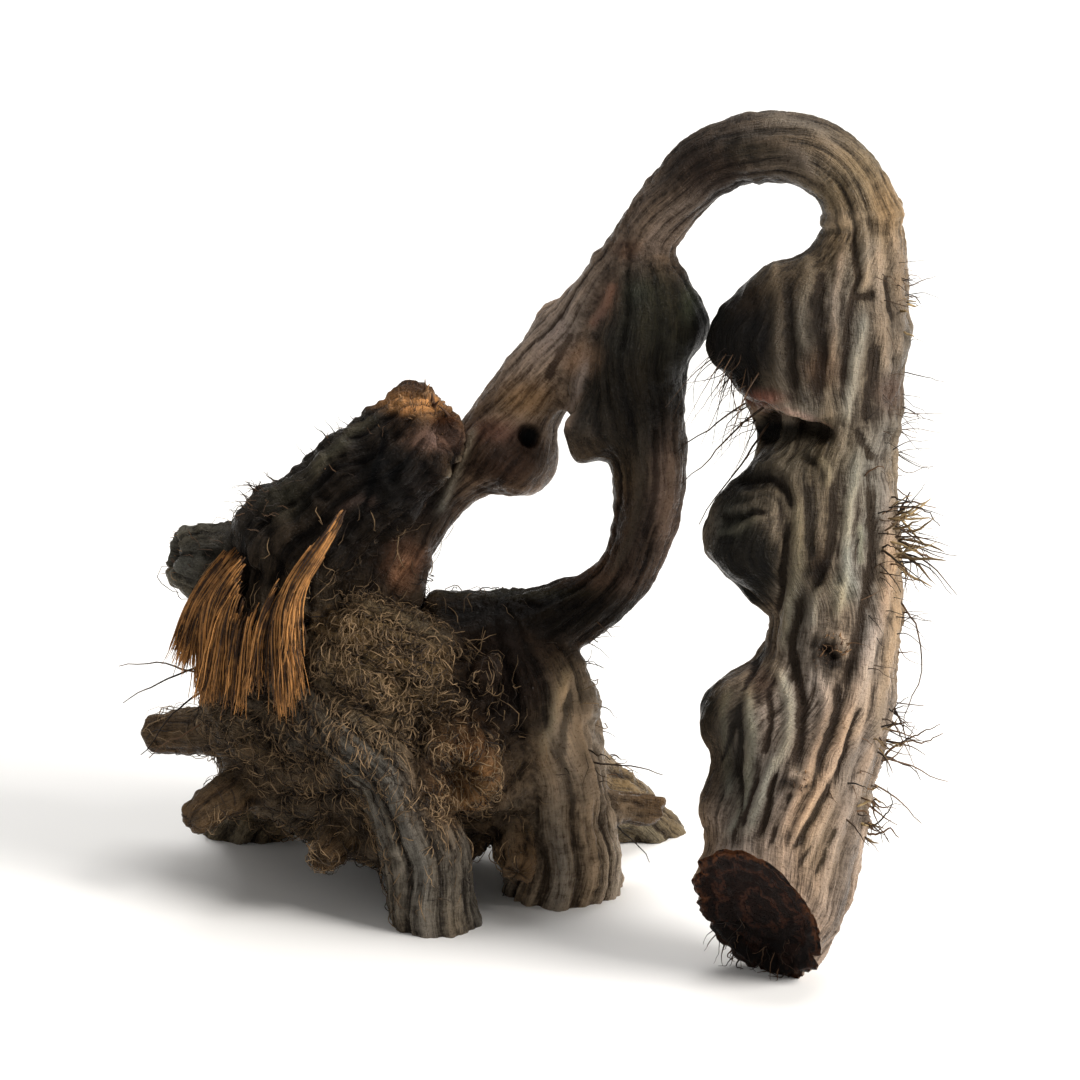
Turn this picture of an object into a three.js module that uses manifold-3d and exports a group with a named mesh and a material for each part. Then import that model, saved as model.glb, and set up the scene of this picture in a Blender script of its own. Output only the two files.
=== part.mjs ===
// A dried nutgrass root: a knobby, ribbed rhizome that arches up from its crown and comes down
// again to a chopped end, with the remains of a leaf sheath on the crown.
// Millimetres, +Z up. It stands as in the picture: X to the right, -Y towards the viewer, and the
// origin in the middle of the flat under the crown's column.
import * as THREE from "three";
import { mergeVertices } from "three/addons/utils/BufferGeometryUtils.js";
import Module from "manifold-3d";

const wasm = await Module();
wasm.setup();

// Driving dimensions
const RIB_COUNT = 14;
const RIB_DEPTH = 0.42;
const RIB_WANDER = 0.18;
const RING_SPACING = 1.75;
const ROOTLET_RADIUS = 0.36;
const ROOTLET_TIP_RADIUS = 0.3;
const ROOTLET_SINK = 0.45;
const BLADE_COUNT = 12;
const BLADE_THICKNESS = 0.84;
const BLADE_FLATNESS = 1.7;
const GROUND_DEPTH = 12;
const SEED = 7;

const BARK = new THREE.MeshStandardMaterial({ color: 0x4a3c31, roughness: 0.9, metalness: 0 });
const SHEATH = new THREE.MeshStandardMaterial({ color: 0x9a6234, roughness: 0.85, metalness: 0 });

// Stations along each limb's centreline: [x, y, z, radius]. The cane runs from the chopped end up
// the thick leg, over the arch and down the thin branch into the crown.
const CANE = [
  [11.6, -22.6, 2.2, 5.2],
  [14.0, -18.4, 4.9, 5.3],
  [15.7, -16.4, 8.5, 5.2],
  [16.8, -14.3, 12.5, 5.1],
  [17.9, -12.3, 16.3, 4.9],
  [19.0, -10.5, 20.2, 4.7],
  [19.6, -8.8, 24.1, 4.5],
  [19.4, -7.2, 28.1, 4.5],
  [19.1, -5.8, 32.1, 4.7],
  [19.0, -4.5, 36.2, 4.8],
  [19.8, -3.3, 40.7, 4.5],
  [20.6, -2.3, 44.8, 4.1],
  [21.3, -1.5, 48.6, 3.3],
  [21.4, -0.9, 51.6, 2.7],
  [20.4, -0.3, 54.1, 2.6],
  [18.6, 0.3, 55.5, 2.6],
  [16.0, 1.0, 56.2, 2.5],
  [13.2, 1.7, 55.8, 2.4],
  [10.2, 2.3, 54.2, 2.35],
  [7.9, 2.9, 51.6, 2.25],
  [5.7, 3.5, 47.9, 2.2],
  [3.2, 4.1, 43.9, 2.4],
  [0.4, 4.7, 39.8, 2.6],
  [-2.3, 5.2, 36.0, 2.7],
  [-5.1, 5.5, 32.3, 2.5],
  [-8.4, 5.6, 28.9, 2.2],
  [-11.1, 5.4, 25.2, 2.4],
  [-13.1, 5.2, 20.8, 2.9],
  [-13.6, 5.0, 15.0, 4.6],
];

// The second branch leaves the arch, swells, and bends back into the crown, which closes the loop
const LOOP_BRANCH = [
  [5.7, 3.3, 48.0, 1.8],
  [6.2, 2.4, 45.1, 3.0],
  [6.4, 1.7, 42.0, 3.7],
  [5.8, 1.3, 38.5, 3.5],
  [6.2, 1.1, 34.8, 2.7],
  [6.4, 1.0, 31.2, 2.45],
  [6.0, 1.1, 27.6, 2.15],
  [4.8, 1.5, 24.1, 1.95],
  [2.7, 2.0, 21.5, 2.1],
  [-0.2, 2.6, 19.8, 2.6],
  [-3.4, 3.3, 18.0, 3.6],
  [-7.4, 4.0, 16.4, 4.6],
];

const STUMP = [
  [-18.4, 5.4, 15.0, 5.4],
  [-20.0, 4.8, 20.0, 5.1],
  [-19.0, 4.2, 24.3, 4.7],
  [-15.9, 3.6, 28.2, 4.1],
  [-12.9, 3.0, 31.1, 3.7],
  [-10.6, 2.5, 33.3, 3.4],
  [-9.2, 2.2, 34.7, 2.9],
  [-8.4, 2.0, 35.6, 1.5],
];

// Tissue that fills the two forks: between the stump and the thin branch, and under the arch
// where the thin branch parts
const STUMP_WEB = [
  [-16.4, 5.2, 16.6, 4.2],
  [-15.8, 4.8, 21.6, 3.4],
  [-14.0, 4.4, 26.2, 2.6],
  [-11.2, 4.0, 30.4, 2.0],
];
const ARCH_WEB = [
  [4.6, 2.8, 45.0, 1.6],
  [3.2, 2.8, 41.0, 2.0],
  [1.8, 2.8, 37.6, 1.7],
  [0.9, 2.8, 35.4, 1.0],
];

// The fibrous swelling on the crown's front
const SWELLING = [
  [-17.8, 1.2, 19.4, 2.4],
  [-14.4, -0.2, 18.2, 4.0],
  [-10.4, -0.4, 16.6, 3.9],
  [-6.8, 0.4, 15.2, 2.6],
];

const CROWN = [
  [-25.6, 6.2, 12.6, 2.2],
  [-22.8, 5.8, 12.2, 5.0],
  [-18.8, 5.2, 11.0, 7.2],
  [-14.0, 4.6, 9.9, 8.4],
  [-9.0, 3.8, 9.7, 8.4],
  [-4.4, 3.0, 10.8, 6.6],
  [-1.2, 2.6, 12.4, 4.4],
];

const COLUMN = [
  [-3.4, 2.5, 19.2, 2.6],
  [-1.6, 1.6, 15.6, 3.5],
  [-0.9, 0.9, 11.6, 3.6],
  [-0.5, 0.4, 7.7, 3.8],
  [0.0, 0.0, 3.3, 4.0],
  [0.0, 0.0, -2.0, 4.2],
];

const SIDE_STUB = [
  [-20.0, 6.2, 19.0, 4.4],
  [-23.6, 6.2, 22.0, 3.2],
  [-26.2, 6.0, 23.2, 2.7],
  [-27.8, 5.9, 23.6, 1.9],
];

const FRONT_ROOT = [
  [-19.6, 0.4, 16.8, 2.0],
  [-15.8, -2.8, 14.0, 2.5],
  [-12.2, -4.8, 10.4, 2.7],
  [-10.0, -5.8, 5.6, 2.9],
  [-9.2, -6.4, 1.4, 3.1],
  [-8.8, -6.8, -2.0, 3.2],
];

const BACK_LEFT_ROOT = [
  [-16.0, 6.4, 9.0, 5.4],
  [-19.6, 9.0, 5.4, 3.9],
  [-22.2, 11.0, 2.0, 2.9],
  [-24.4, 12.6, -1.6, 2.4],
];

const BACK_RIGHT_ROOT = [
  [-4.0, 4.6, 8.6, 5.0],
  [1.0, 8.0, 5.0, 3.2],
  [4.8, 10.4, 2.0, 2.4],
  [7.6, 12.0, -1.4, 2.1],
];

// The cup-shaped scar where a stem broke off, facing the viewer
const SCAR_STUB = [
  [-7.6, -1.0, 11.6, 3.4],
  [-7.4, -4.8, 11.2, 3.0],
  [-7.2, -6.6, 10.9, 2.8],
];
const SCAR_CUP = { centre: [-7.1, -8.2, 10.7], radius: 2.5 };

// Broken-off roots round the crown: foot of the stub, direction, length and radius
const BROKEN_STUBS = [
  { foot: [-21.5, 2.0, 8.6], towards: [-0.7, -0.7, -0.3], length: 7.5, radius: 1.3 },
  { foot: [-23.0, 7.0, 10.0], towards: [-1.0, 0.4, -0.25], length: 7.5, radius: 1.5 },
  { foot: [-11.0, 9.5, 9.5], towards: [-0.2, 1.0, 0.05], length: 8.0, radius: 1.6 },
  { foot: [-5.5, 7.5, 13.5], towards: [0.4, 0.9, 0.4], length: 5.0, radius: 1.2 },
  { foot: [-15.0, -1.5, 6.0], towards: [-0.5, -1.0, -0.3], length: 5.5, radius: 1.2 },
  { foot: [-3.6, -1.4, 5.6], towards: [0.1, -1.0, -0.35], length: 5.5, radius: 1.3 },
  { foot: [1.0, 1.0, 6.4], towards: [1.0, 0.2, -0.2], length: 6.5, radius: 1.1 },
  { foot: [-6.0, 0.0, 15.0], towards: [0.2, -0.7, 0.7], length: 4.5, radius: 1.1 },
  { foot: [-17.0, 10.0, 14.0], towards: [-0.4, 0.8, 0.5], length: 5.5, radius: 1.4 },
];

// Knobs raised on the bark: [x, y, z, height, width], with the centre on the bark
const CANE_KNOBS = [
  [15.4, -2.7, 43.1, 4.2, 4.6],
  [14.9, -7.0, 30.6, 3.9, 3.6],
  [14.8, -8.0, 27.4, 1.5, 2.6],
  [14.8, -5.6, 36.9, -1.5, 1.8],
  [17.0, -9.2, 38.0, -0.9, 1.8],
  [13.4, -11.9, 17.8, 3.2, 3.3],
  [11.8, -14.6, 12.4, 1.5, 2.3],
  [23.9, -3.4, 43.4, 0.7, 1.4],
  [-3.2, 4.2, 31.7, 2.8, 2.7],
  [-0.2, 6.6, 41.0, 0.8, 2.0],
];
const LOOP_KNOBS = [
  [2.9, 0.6, 35.4, 2.9, 2.1],
  [8.7, 0.7, 38.0, 0.7, 2.0],
];
const CROWN_KNOBS = [
  [-17.4, -1.8, 14.0, 1.7, 3.0],
  [-12.6, -2.4, 15.6, 2.0, 2.8],
  [-7.2, -1.4, 17.0, 1.9, 2.6],
  [-2.6, -2.8, 9.0, 1.6, 2.6],
  [-9.0, 10.8, 14.4, 2.4, 3.4],
  [-15.2, 12.4, 8.0, 2.0, 3.2],
  [-21.8, 1.2, 11.0, 1.6, 2.6],
  [-3.4, 8.8, 12.0, 1.8, 2.6],
  [-13.0, -3.4, 6.0, 1.4, 3.0],
];
const STUMP_KNOBS = [
  [-10.6, 4.6, 35.4, 1.4, 2.0],
  [-21.8, 2.2, 27.6, 1.0, 2.4],
  [-22.6, 7.6, 23.0, 1.4, 3.0],
];

// Rails of the leaf sheath, from its right edge round to its left: the blades start on the top
// rail, bulge over the middle one and end near the low one
const SHEATH_TOP = [
  [-16.0, -1.6, 29.2],
  [-18.6, -1.8, 27.2],
  [-21.6, -0.8, 26.4],
  [-24.4, 1.6, 26.2],
];
const SHEATH_MIDDLE = [
  [-18.0, -2.8, 24.4],
  [-20.8, -2.5, 22.6],
  [-24.0, -0.8, 22.4],
  [-27.0, 1.6, 20.8],
];
const SHEATH_LOW = [
  [-18.6, -4.8, 17.4],
  [-21.0, -3.8, 15.6],
  [-24.6, -2.4, 15.4],
  [-27.6, 0.8, 16.4],
];
const CROWN_AXIS = [-18.5, 5.0];

// The chopped end is one oblique cut
const CUT_POINT = new THREE.Vector3(13.4, -17.9, 5.0);
const CUT_NORMAL = new THREE.Vector3(-0.53, -0.76, -0.37).normalize();

function smooth(t) {
  const u = THREE.MathUtils.clamp(t, 0, 1);
  return u * u * (3 - 2 * u);
}

function seededRandom(seed) {
  let state = seed;
  return () => {
    state = (state * 1664525 + 1013904223) % 4294967296;
    return state / 4294967296;
  };
}

// The uneven girth that every limb has, from -1 to 1
function unevenness(along, angle, phase) {
  return (
    0.5 * Math.sin(0.55 * along + 2 * angle + phase) +
    0.3 * Math.sin(1.27 * along - 3 * angle + 2.1 * phase) +
    0.2 * Math.sin(2.3 * along + 5 * angle + 0.7 * phase)
  );
}

function knobHeight(point, knobs) {
  let height = 0;
  for (const [x, y, z, tall, wide] of knobs) {
    const distance = Math.hypot(point.x - x, point.y - y, point.z - z) / wide;
    height += tall * Math.exp(-(distance ** 2.6));
  }
  return height;
}

// A closed tube through the stations, with rings of vertices square to its centreline. Angle 0
// starts on the side it faces. reliefAt gives the extra radius at a place on the bark, and twist is
// how far the ribs wander round the limb.
function limbGeometry({
  stations,
  sides,
  spacing = RING_SPACING,
  reliefAt = () => 0,
  facing = [0, -1, 0],
  twist = 0,
}) {
  const centreline = new THREE.CatmullRomCurve3(
    stations.map(([x, y, z]) => new THREE.Vector3(x, y, z)),
    false,
    "centripetal",
  );
  const girth = new THREE.SplineCurve(stations.map((s, i) => new THREE.Vector2(i, s[3])));
  const length = centreline.getLength();
  const rings = Math.max(3, Math.round(length / spacing));
  const positions = [];
  const side = new THREE.Vector3(...facing);
  const across = new THREE.Vector3();
  for (let ring = 0; ring <= rings; ring++) {
    const t = centreline.getUtoTmapping(ring / rings);
    const centre = centreline.getPoint(t);
    const tangent = centreline.getTangent(t);
    const radius = girth.getPoint(t).y;
    const along = (length * ring) / rings;
    const wander = twist * (0.7 * Math.sin(0.34 * along) + 0.3 * Math.sin(0.91 * along + 1));
    side.addScaledVector(tangent, -side.dot(tangent)).normalize();
    across.crossVectors(tangent, side);
    for (let k = 0; k < sides; k++) {
      const angle = (2 * Math.PI * k) / sides;
      const outward = side.clone().multiplyScalar(Math.cos(angle + wander));
      outward.addScaledVector(across, Math.sin(angle + wander));
      const bark = centre.clone().addScaledVector(outward, radius);
      const relief = reliefAt(bark, along, angle, radius);
      bark.addScaledVector(outward, relief);
      positions.push(bark.x, bark.y, bark.z);
    }
  }
  const [first, last] = [stations[0], stations[stations.length - 1]];
  positions.push(first[0], first[1], first[2], last[0], last[1], last[2]);
  const startCap = (rings + 1) * sides;
  const endCap = startCap + 1;
  const index = [];
  for (let k = 0; k < sides; k++) {
    const next = (k + 1) % sides;
    index.push(startCap, next, k);
    index.push(endCap, rings * sides + k, rings * sides + next);
    for (let ring = 0; ring < rings; ring++) {
      const near = ring * sides;
      const far = near + sides;
      index.push(near + k, near + next, far + next);
      index.push(near + k, far + next, far + k);
    }
  }
  return new THREE.BufferGeometry()
    .setAttribute("position", new THREE.Float32BufferAttribute(positions, 3))
    .setIndex(index);
}

// Solids for joining and cutting
function solidOf(geometry) {
  const bare = geometry.clone();
  bare.deleteAttribute("normal");
  bare.deleteAttribute("uv");
  const merged = mergeVertices(bare, 1e-4);
  return new wasm.Manifold(
    new wasm.Mesh({
      numProp: 3,
      vertProperties: merged.attributes.position.array,
      triVerts: new Uint32Array(merged.index.array),
    }),
  );
}

function meshOf(solid, name, material) {
  const { vertProperties, triVerts } = solid.getMesh();
  const geometry = new THREE.BufferGeometry()
    .setAttribute("position", new THREE.BufferAttribute(vertProperties, 3))
    .setIndex(new THREE.BufferAttribute(triVerts, 1));
  geometry.computeVertexNormals();
  const mesh = new THREE.Mesh(geometry, material);
  mesh.name = name;
  return mesh;
}

// A block whose top face lies on a plane, as the knife's waste side
function wasteBlock(point, normal, depth, size) {
  const block = new THREE.BoxGeometry(size, size, depth).translate(0, 0, depth / 2);
  const turn = new THREE.Quaternion().setFromUnitVectors(new THREE.Vector3(0, 0, 1), normal);
  block.applyQuaternion(turn).translate(point.x, point.y, point.z);
  return solidOf(block);
}

// Ribs run along the cane, deepest on the leg, and fade out towards the crown
function caneRelief(bark, along, angle, radius) {
  const fade = 0.35 + 0.65 * smooth((62 - along) / 20);
  const rib = RIB_DEPTH * fade * (radius / 4.5) * Math.cos(RIB_COUNT * angle);
  return rib + 0.05 * radius * unevenness(along, angle, 0.4) + knobHeight(bark, CANE_KNOBS);
}

function ribbedRelief({ ribs, depth, uneven, phase, knobs = [] }) {
  return (bark, along, angle, radius) =>
    depth * Math.cos(ribs * angle) +
    uneven * radius * unevenness(along, angle, phase) +
    knobHeight(bark, knobs);
}

function ribbedLimb(stations, ribs, depth, uneven, phase, knobs) {
  const reliefAt = ribbedRelief({ ribs, depth, uneven, phase, knobs });
  return solidOf(limbGeometry({ stations, sides: 2 * ribs, reliefAt, twist: RIB_WANDER }));
}

function cane() {
  const whole = solidOf(
    limbGeometry({
      stations: CANE,
      sides: 2 * RIB_COUNT,
      reliefAt: caneRelief,
      twist: RIB_WANDER,
    }),
  );
  return whole.subtract(wasteBlock(CUT_POINT, CUT_NORMAL, 12, 24));
}

// A rootlet starts inside the limb, goes outward and then droops
function rootlet(start, outward, length, droop, bend) {
  const sideways = new THREE.Vector3(0, 0, 1).cross(outward).normalize();
  const stations = [0, 0.35, 0.7, 1].map((t) => {
    const point = start
      .clone()
      .addScaledVector(outward, length * t)
      .addScaledVector(sideways, bend * Math.sin(1.5 * Math.PI * t));
    point.z -= droop * t * t;
    const radius = THREE.MathUtils.lerp(ROOTLET_RADIUS, ROOTLET_TIP_RADIUS, t);
    return [point.x, point.y, Math.max(point.z, ROOTLET_RADIUS + 0.1), radius];
  });
  return solidOf(limbGeometry({ stations, sides: 4, spacing: length / 5 }));
}

// Where rootlets grow: centre of a limb there, its radius, the middle direction, and how many
const TUFTS = [
  { centre: [19.2, -6.4, 30.4], radius: 4.6, towards: [1, -0.1, 0.1], count: 5, length: 4.2 },
  { centre: [18.0, -12.0, 16.6], radius: 4.9, towards: [1, 0.2, 0.0], count: 5, length: 3.8 },
  { centre: [20.4, -2.6, 43.6], radius: 4.2, towards: [1, 0.3, 0.1], count: 2, length: 2.4 },
  { centre: [17.4, -4.2, 40.4], radius: 7.0, towards: [-0.9, 0.1, -0.5], count: 3, length: 3.6 },
  { centre: [19.0, -6.0, 32.0], radius: 4.4, towards: [0.3, 1, 0.1], count: 3, length: 3.2 },
  { centre: [-23.0, 6.0, 14.0], radius: 4.6, towards: [-1, 0.0, -0.2], count: 4, length: 5.2 },
  { centre: [-13.0, 5.0, 12.0], radius: 7.6, towards: [-0.1, 1, 0.1], count: 4, length: 5.0 },
  { centre: [-12.0, 4.6, 12.0], radius: 7.2, towards: [-0.4, -1, -0.4], count: 4, length: 4.2 },
  { centre: [-0.6, 0.6, 9.0], radius: 3.6, towards: [1, -0.2, 0.0], count: 3, length: 3.6 },
];

function rootlets() {
  const random = seededRandom(SEED);
  const spread = () => random() - 0.5;
  return TUFTS.flatMap(({ centre, radius, towards, count, length }) =>
    Array.from({ length: count }, () => {
      const outward = new THREE.Vector3(...towards).normalize();
      outward.add(new THREE.Vector3(spread(), spread(), spread()).multiplyScalar(1.1)).normalize();
      const start = new THREE.Vector3(...centre).addScaledVector(outward, radius * (1 - ROOTLET_SINK));
      start.z += 3 * spread();
      const whole = radius * ROOTLET_SINK + length * (0.75 + 0.5 * random());
      return rootlet(start, outward, whole, 2.6 * random(), 2 * spread());
    }),
  );
}

function brokenStub({ foot, towards, length, radius }) {
  const direction = new THREE.Vector3(...towards).normalize();
  const stations = [0, 0.6, 1].map((t) => {
    const point = new THREE.Vector3(...foot).addScaledVector(direction, length * t);
    return [point.x, point.y, point.z, radius * (1.25 - 0.35 * t)];
  });
  return ribbedLimb(stations, 4, 0.1, 0.08, foot[0], []);
}

function scarStub() {
  const { centre, radius } = SCAR_CUP;
  const cup = new THREE.SphereGeometry(radius, 12, 8).translate(...centre);
  return ribbedLimb(SCAR_STUB, 8, 0.12, 0.04, 0.6, []).subtract(solidOf(cup));
}

function rhizome() {
  const limbs = [
    cane(),
    ribbedLimb(LOOP_BRANCH, 8, 0.16, 0.04, 1.3, LOOP_KNOBS),
    ribbedLimb(STUMP, 11, 0.22, 0.07, 2.2, STUMP_KNOBS),
    ribbedLimb(STUMP_WEB, 8, 0.18, 0.06, 1.7, []),
    ribbedLimb(ARCH_WEB, 6, 0.12, 0.06, 2.9, []),
    ribbedLimb(SWELLING, 9, 0.24, 0.08, 0.5, []),
    ribbedLimb(CROWN, 14, 0.24, 0.07, 3.1, CROWN_KNOBS),
    ribbedLimb(COLUMN, 10, 0.28, 0.05, 0.9, []),
    ribbedLimb(SIDE_STUB, 8, 0.16, 0.06, 1.9, []),
    ribbedLimb(FRONT_ROOT, 8, 0.22, 0.05, 2.7, []),
    ribbedLimb(BACK_LEFT_ROOT, 8, 0.2, 0.06, 0.2, []),
    ribbedLimb(BACK_RIGHT_ROOT, 8, 0.18, 0.06, 1.1, []),
    scarStub(),
    ...BROKEN_STUBS.map(brokenStub),
    ...rootlets(),
  ];
  const ground = wasteBlock(
    new THREE.Vector3(0, 0, 0),
    new THREE.Vector3(0, 0, -1),
    GROUND_DEPTH,
    120,
  );
  const bodies = limbs.reduce((whole, limb) => whole.add(limb)).subtract(ground).decompose();
  return bodies.reduce((largest, body) => (body.volume() > largest.volume() ? body : largest));
}

// Flat blades of the torn leaf sheath: their feet overlap into one sheet, and their tips part
function leafSheath() {
  const railThrough = (points) =>
    new THREE.CatmullRomCurve3(points.map((point) => new THREE.Vector3(...point)));
  const rails = [SHEATH_TOP, SHEATH_MIDDLE, SHEATH_LOW].map(railThrough);
  const random = seededRandom(SEED + 1);
  const flatten = (bark, along, angle, radius) => {
    const roundness = Math.hypot(BLADE_FLATNESS * Math.cos(angle), Math.sin(angle));
    return radius * (BLADE_FLATNESS / roundness - 1);
  };
  const blades = Array.from({ length: BLADE_COUNT }, (_, i) => {
    const u = (i + 0.5) / BLADE_COUNT;
    const [foot, belly, tip] = rails.map((rail) => rail.getPointAt(u));
    const facing = [foot.x - CROWN_AXIS[0], foot.y - CROWN_AXIS[1], 0];
    tip.x += 1.6 * (random() - 0.5);
    tip.lerpVectors(belly, tip, 0.65 + 0.5 * random());
    foot.lerpVectors(belly, foot, 0.85 + 0.3 * random());
    const stations = [foot, belly, tip].map((point, k) => [
      point.x,
      point.y,
      point.z,
      (BLADE_THICKNESS / 2) * (1 - 0.1 * k),
    ]);
    return solidOf(
      limbGeometry({ stations, sides: 6, spacing: 1.8, reliefAt: flatten, facing }),
    );
  });
  return blades.reduce((whole, blade) => whole.add(blade));
}

const object = new THREE.Group();
object.add(meshOf(rhizome(), "rhizome", BARK));
object.add(meshOf(leafSheath(), "leaf_sheath", SHEATH));

export default object;
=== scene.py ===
"""The looks of a dried nutgrass root: ribbed bark, matted crown fibres, leaf sheath and root hairs.

Shapes are worked out in millimetres, in the model's own frame, and turned into metres when a mesh is
made: +X to the right, -Y towards the viewer, +Z up.
"""

import math

import bmesh
import bpy
import numpy as np
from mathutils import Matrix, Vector
from mathutils.bvhtree import BVHTree


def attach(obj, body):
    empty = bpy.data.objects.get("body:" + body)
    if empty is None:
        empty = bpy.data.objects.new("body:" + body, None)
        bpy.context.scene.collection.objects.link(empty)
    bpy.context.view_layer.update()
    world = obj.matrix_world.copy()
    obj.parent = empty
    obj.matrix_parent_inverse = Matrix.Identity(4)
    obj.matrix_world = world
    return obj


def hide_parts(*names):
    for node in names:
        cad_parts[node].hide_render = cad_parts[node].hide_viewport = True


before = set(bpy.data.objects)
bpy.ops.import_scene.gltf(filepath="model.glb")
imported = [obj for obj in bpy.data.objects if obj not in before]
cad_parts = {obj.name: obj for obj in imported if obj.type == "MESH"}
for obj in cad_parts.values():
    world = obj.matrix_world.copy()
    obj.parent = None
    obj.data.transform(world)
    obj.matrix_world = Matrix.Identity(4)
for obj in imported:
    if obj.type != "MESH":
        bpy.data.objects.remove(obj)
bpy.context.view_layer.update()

MM = 0.001
STEP = 0.4
TUBE_SIDES = 44
VOXEL = 0.225
RIB_WANDER = 0.18

# How far and how strongly ribs bend round a knob, for knobs of at least this height
KNOB_REACH = 0.62
KNOB_BEND = 0.8
KNOB_LEAST = 1

# Ribs between the main ones, fine ribs on them, how much both sway round the limb, and their heights
# as shares of the limb's rib depth
SECOND_RIBS = 1.45
FINE_RIBS = 3
SLOW_SWAY = 1.25
QUICK_SWAY = 0.55
MAIN_HEIGHT = 0.8
FINE_HEIGHT = 0.24

# The leg leans, and its ribs fade where it faces the camera, because its folds are traced there
LEG_LEAN = 0.022
LEG_LEAN_END = 24
LEG_RADIUS = 4.7
LEG_RIB_FADE = 0.8

# How far outside a limb's bark its relief, its colour and its joint with the next limb reach
RELIEF_REACH = 0.35
COLOUR_REACH = 0.9
JOINT_REACH = 0.9

# Rounds of smoothing over the whole skin and at its joints, and rounds that find hollows,
# in which the bark is darkened as painted shade
SKIN_ROUNDS = 5
JOINT_ROUNDS = 26
JOINT_SHARE = 0.6
HOLLOW_ROUNDS = 10
DEEP_ROUNDS = 70
SEED = 7

# The picture's own frame: pixels a millimetre, and the pixel of the frame's origin
PHOTO_SCALE = 4.7
PHOTO_ORIGIN = (642, 469)
PHOTO_ORIGIN_DEPTH = -16.5
VIEW_TILT = math.radians(20)
FACING_SOFTNESS = 0.25
PICTURE_JOSTLE = 0.38
TO_CAMERA = np.array([0, -math.cos(VIEW_TILT), math.sin(VIEW_TILT)])

# Stations along each limb's centreline: [x, y, z, radius]
CANE = [
    [11.6, -22.6, 2.2, 5.2],
    [14.0, -18.4, 4.9, 5.3],
    [15.7, -16.4, 8.5, 5.2],
    [16.8, -14.3, 12.5, 5.1],
    [17.9, -12.3, 16.3, 4.9],
    [19.0, -10.5, 20.2, 4.7],
    [19.6, -8.8, 24.1, 4.5],
    [19.4, -7.2, 28.1, 4.5],
    [19.1, -5.8, 32.1, 4.7],
    [19.0, -4.5, 36.2, 4.8],
    [19.8, -3.3, 40.7, 4.5],
    [20.6, -2.3, 44.8, 4.1],
    [21.3, -1.5, 48.6, 3.3],
    [21.4, -0.9, 51.6, 2.7],
    [20.4, -0.3, 54.1, 2.6],
    [18.6, 0.3, 55.5, 2.6],
    [16.0, 1.0, 56.2, 2.5],
    [13.2, 1.7, 55.8, 2.4],
    [10.2, 2.3, 54.2, 2.35],
    [7.9, 2.9, 51.6, 2.25],
    [5.7, 3.5, 47.9, 2.2],
    [3.2, 4.1, 43.9, 2.4],
    [0.4, 4.7, 39.8, 2.6],
    [-2.3, 5.2, 36.0, 2.7],
    [-5.1, 5.5, 32.3, 2.5],
    [-8.4, 5.6, 28.9, 2.2],
    [-11.1, 5.4, 25.2, 2.4],
    [-13.1, 5.2, 20.8, 2.9],
    [-13.6, 5.0, 15.0, 4.6],
]
LOOP_BRANCH = [
    [5.7, 3.3, 48.0, 1.8],
    [6.2, 2.4, 45.1, 3.0],
    [6.4, 1.7, 42.0, 3.7],
    [5.8, 1.3, 38.5, 3.5],
    [6.2, 1.1, 34.8, 2.7],
    [6.4, 1.0, 31.2, 2.45],
    [6.0, 1.1, 27.6, 2.15],
    [4.8, 1.5, 24.1, 1.95],
    [2.7, 2.0, 21.5, 2.1],
    [-0.2, 2.6, 19.8, 2.6],
    [-3.4, 3.3, 18.0, 3.6],
    [-7.4, 4.0, 16.4, 4.6],
]
STUMP = [
    [-18.4, 5.4, 15.0, 5.4],
    [-20.0, 4.8, 20.0, 5.1],
    [-19.0, 4.2, 24.3, 4.7],
    [-15.9, 3.6, 28.2, 4.1],
    [-12.9, 3.0, 31.1, 3.7],
    [-10.6, 2.5, 33.3, 3.4],
    [-9.2, 2.2, 34.7, 2.9],
    [-8.4, 2.0, 35.6, 1.5],
]
STUMP_WEB = [
    [-16.4, 5.2, 16.6, 4.2],
    [-15.8, 4.8, 21.6, 3.4],
    [-14.0, 4.4, 26.2, 2.6],
    [-11.2, 4.0, 30.4, 2.0],
]
ARCH_WEB = [
    [4.6, 2.8, 45.0, 1.6],
    [3.2, 2.8, 41.0, 2.0],
    [1.8, 2.8, 37.6, 1.7],
    [0.9, 2.8, 35.4, 1.0],
]
SWELLING = [
    [-17.8, 1.2, 19.4, 2.4],
    [-14.4, -0.2, 18.2, 4.0],
    [-10.4, -0.4, 16.6, 3.9],
    [-6.8, 0.4, 15.2, 2.6],
]
CROWN = [
    [-25.6, 6.2, 12.6, 2.2],
    [-22.8, 5.8, 12.2, 5.0],
    [-18.8, 5.2, 11.0, 7.2],
    [-14.0, 4.6, 9.9, 8.4],
    [-9.0, 3.8, 9.7, 8.4],
    [-4.4, 3.0, 10.8, 6.6],
    [-1.2, 2.6, 12.4, 4.4],
]
COLUMN = [
    [-3.4, 2.5, 19.2, 2.6],
    [-1.6, 1.6, 15.6, 3.5],
    [-0.9, 0.9, 11.6, 3.6],
    [-0.5, 0.4, 7.7, 3.8],
    [0.0, 0.0, 3.3, 4.0],
    [0.0, 0.0, -2.0, 4.2],
]
SIDE_STUB = [
    [-20.0, 6.2, 19.0, 4.4],
    [-23.6, 6.2, 22.0, 3.2],
    [-26.2, 6.0, 23.2, 2.7],
    [-27.8, 5.9, 23.6, 1.9],
]
FRONT_ROOT = [
    [-19.6, 0.4, 16.8, 2.0],
    [-15.8, -2.8, 14.0, 2.5],
    [-12.2, -4.8, 10.4, 2.7],
    [-10.0, -5.8, 5.6, 2.9],
    [-9.2, -6.4, 1.4, 3.1],
    [-8.8, -6.8, -2.0, 3.2],
]
BACK_LEFT_ROOT = [
    [-16.0, 6.4, 9.0, 5.4],
    [-19.6, 9.0, 5.4, 3.9],
    [-22.2, 11.0, 2.0, 2.9],
    [-24.4, 12.6, -1.6, 2.4],
]
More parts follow.
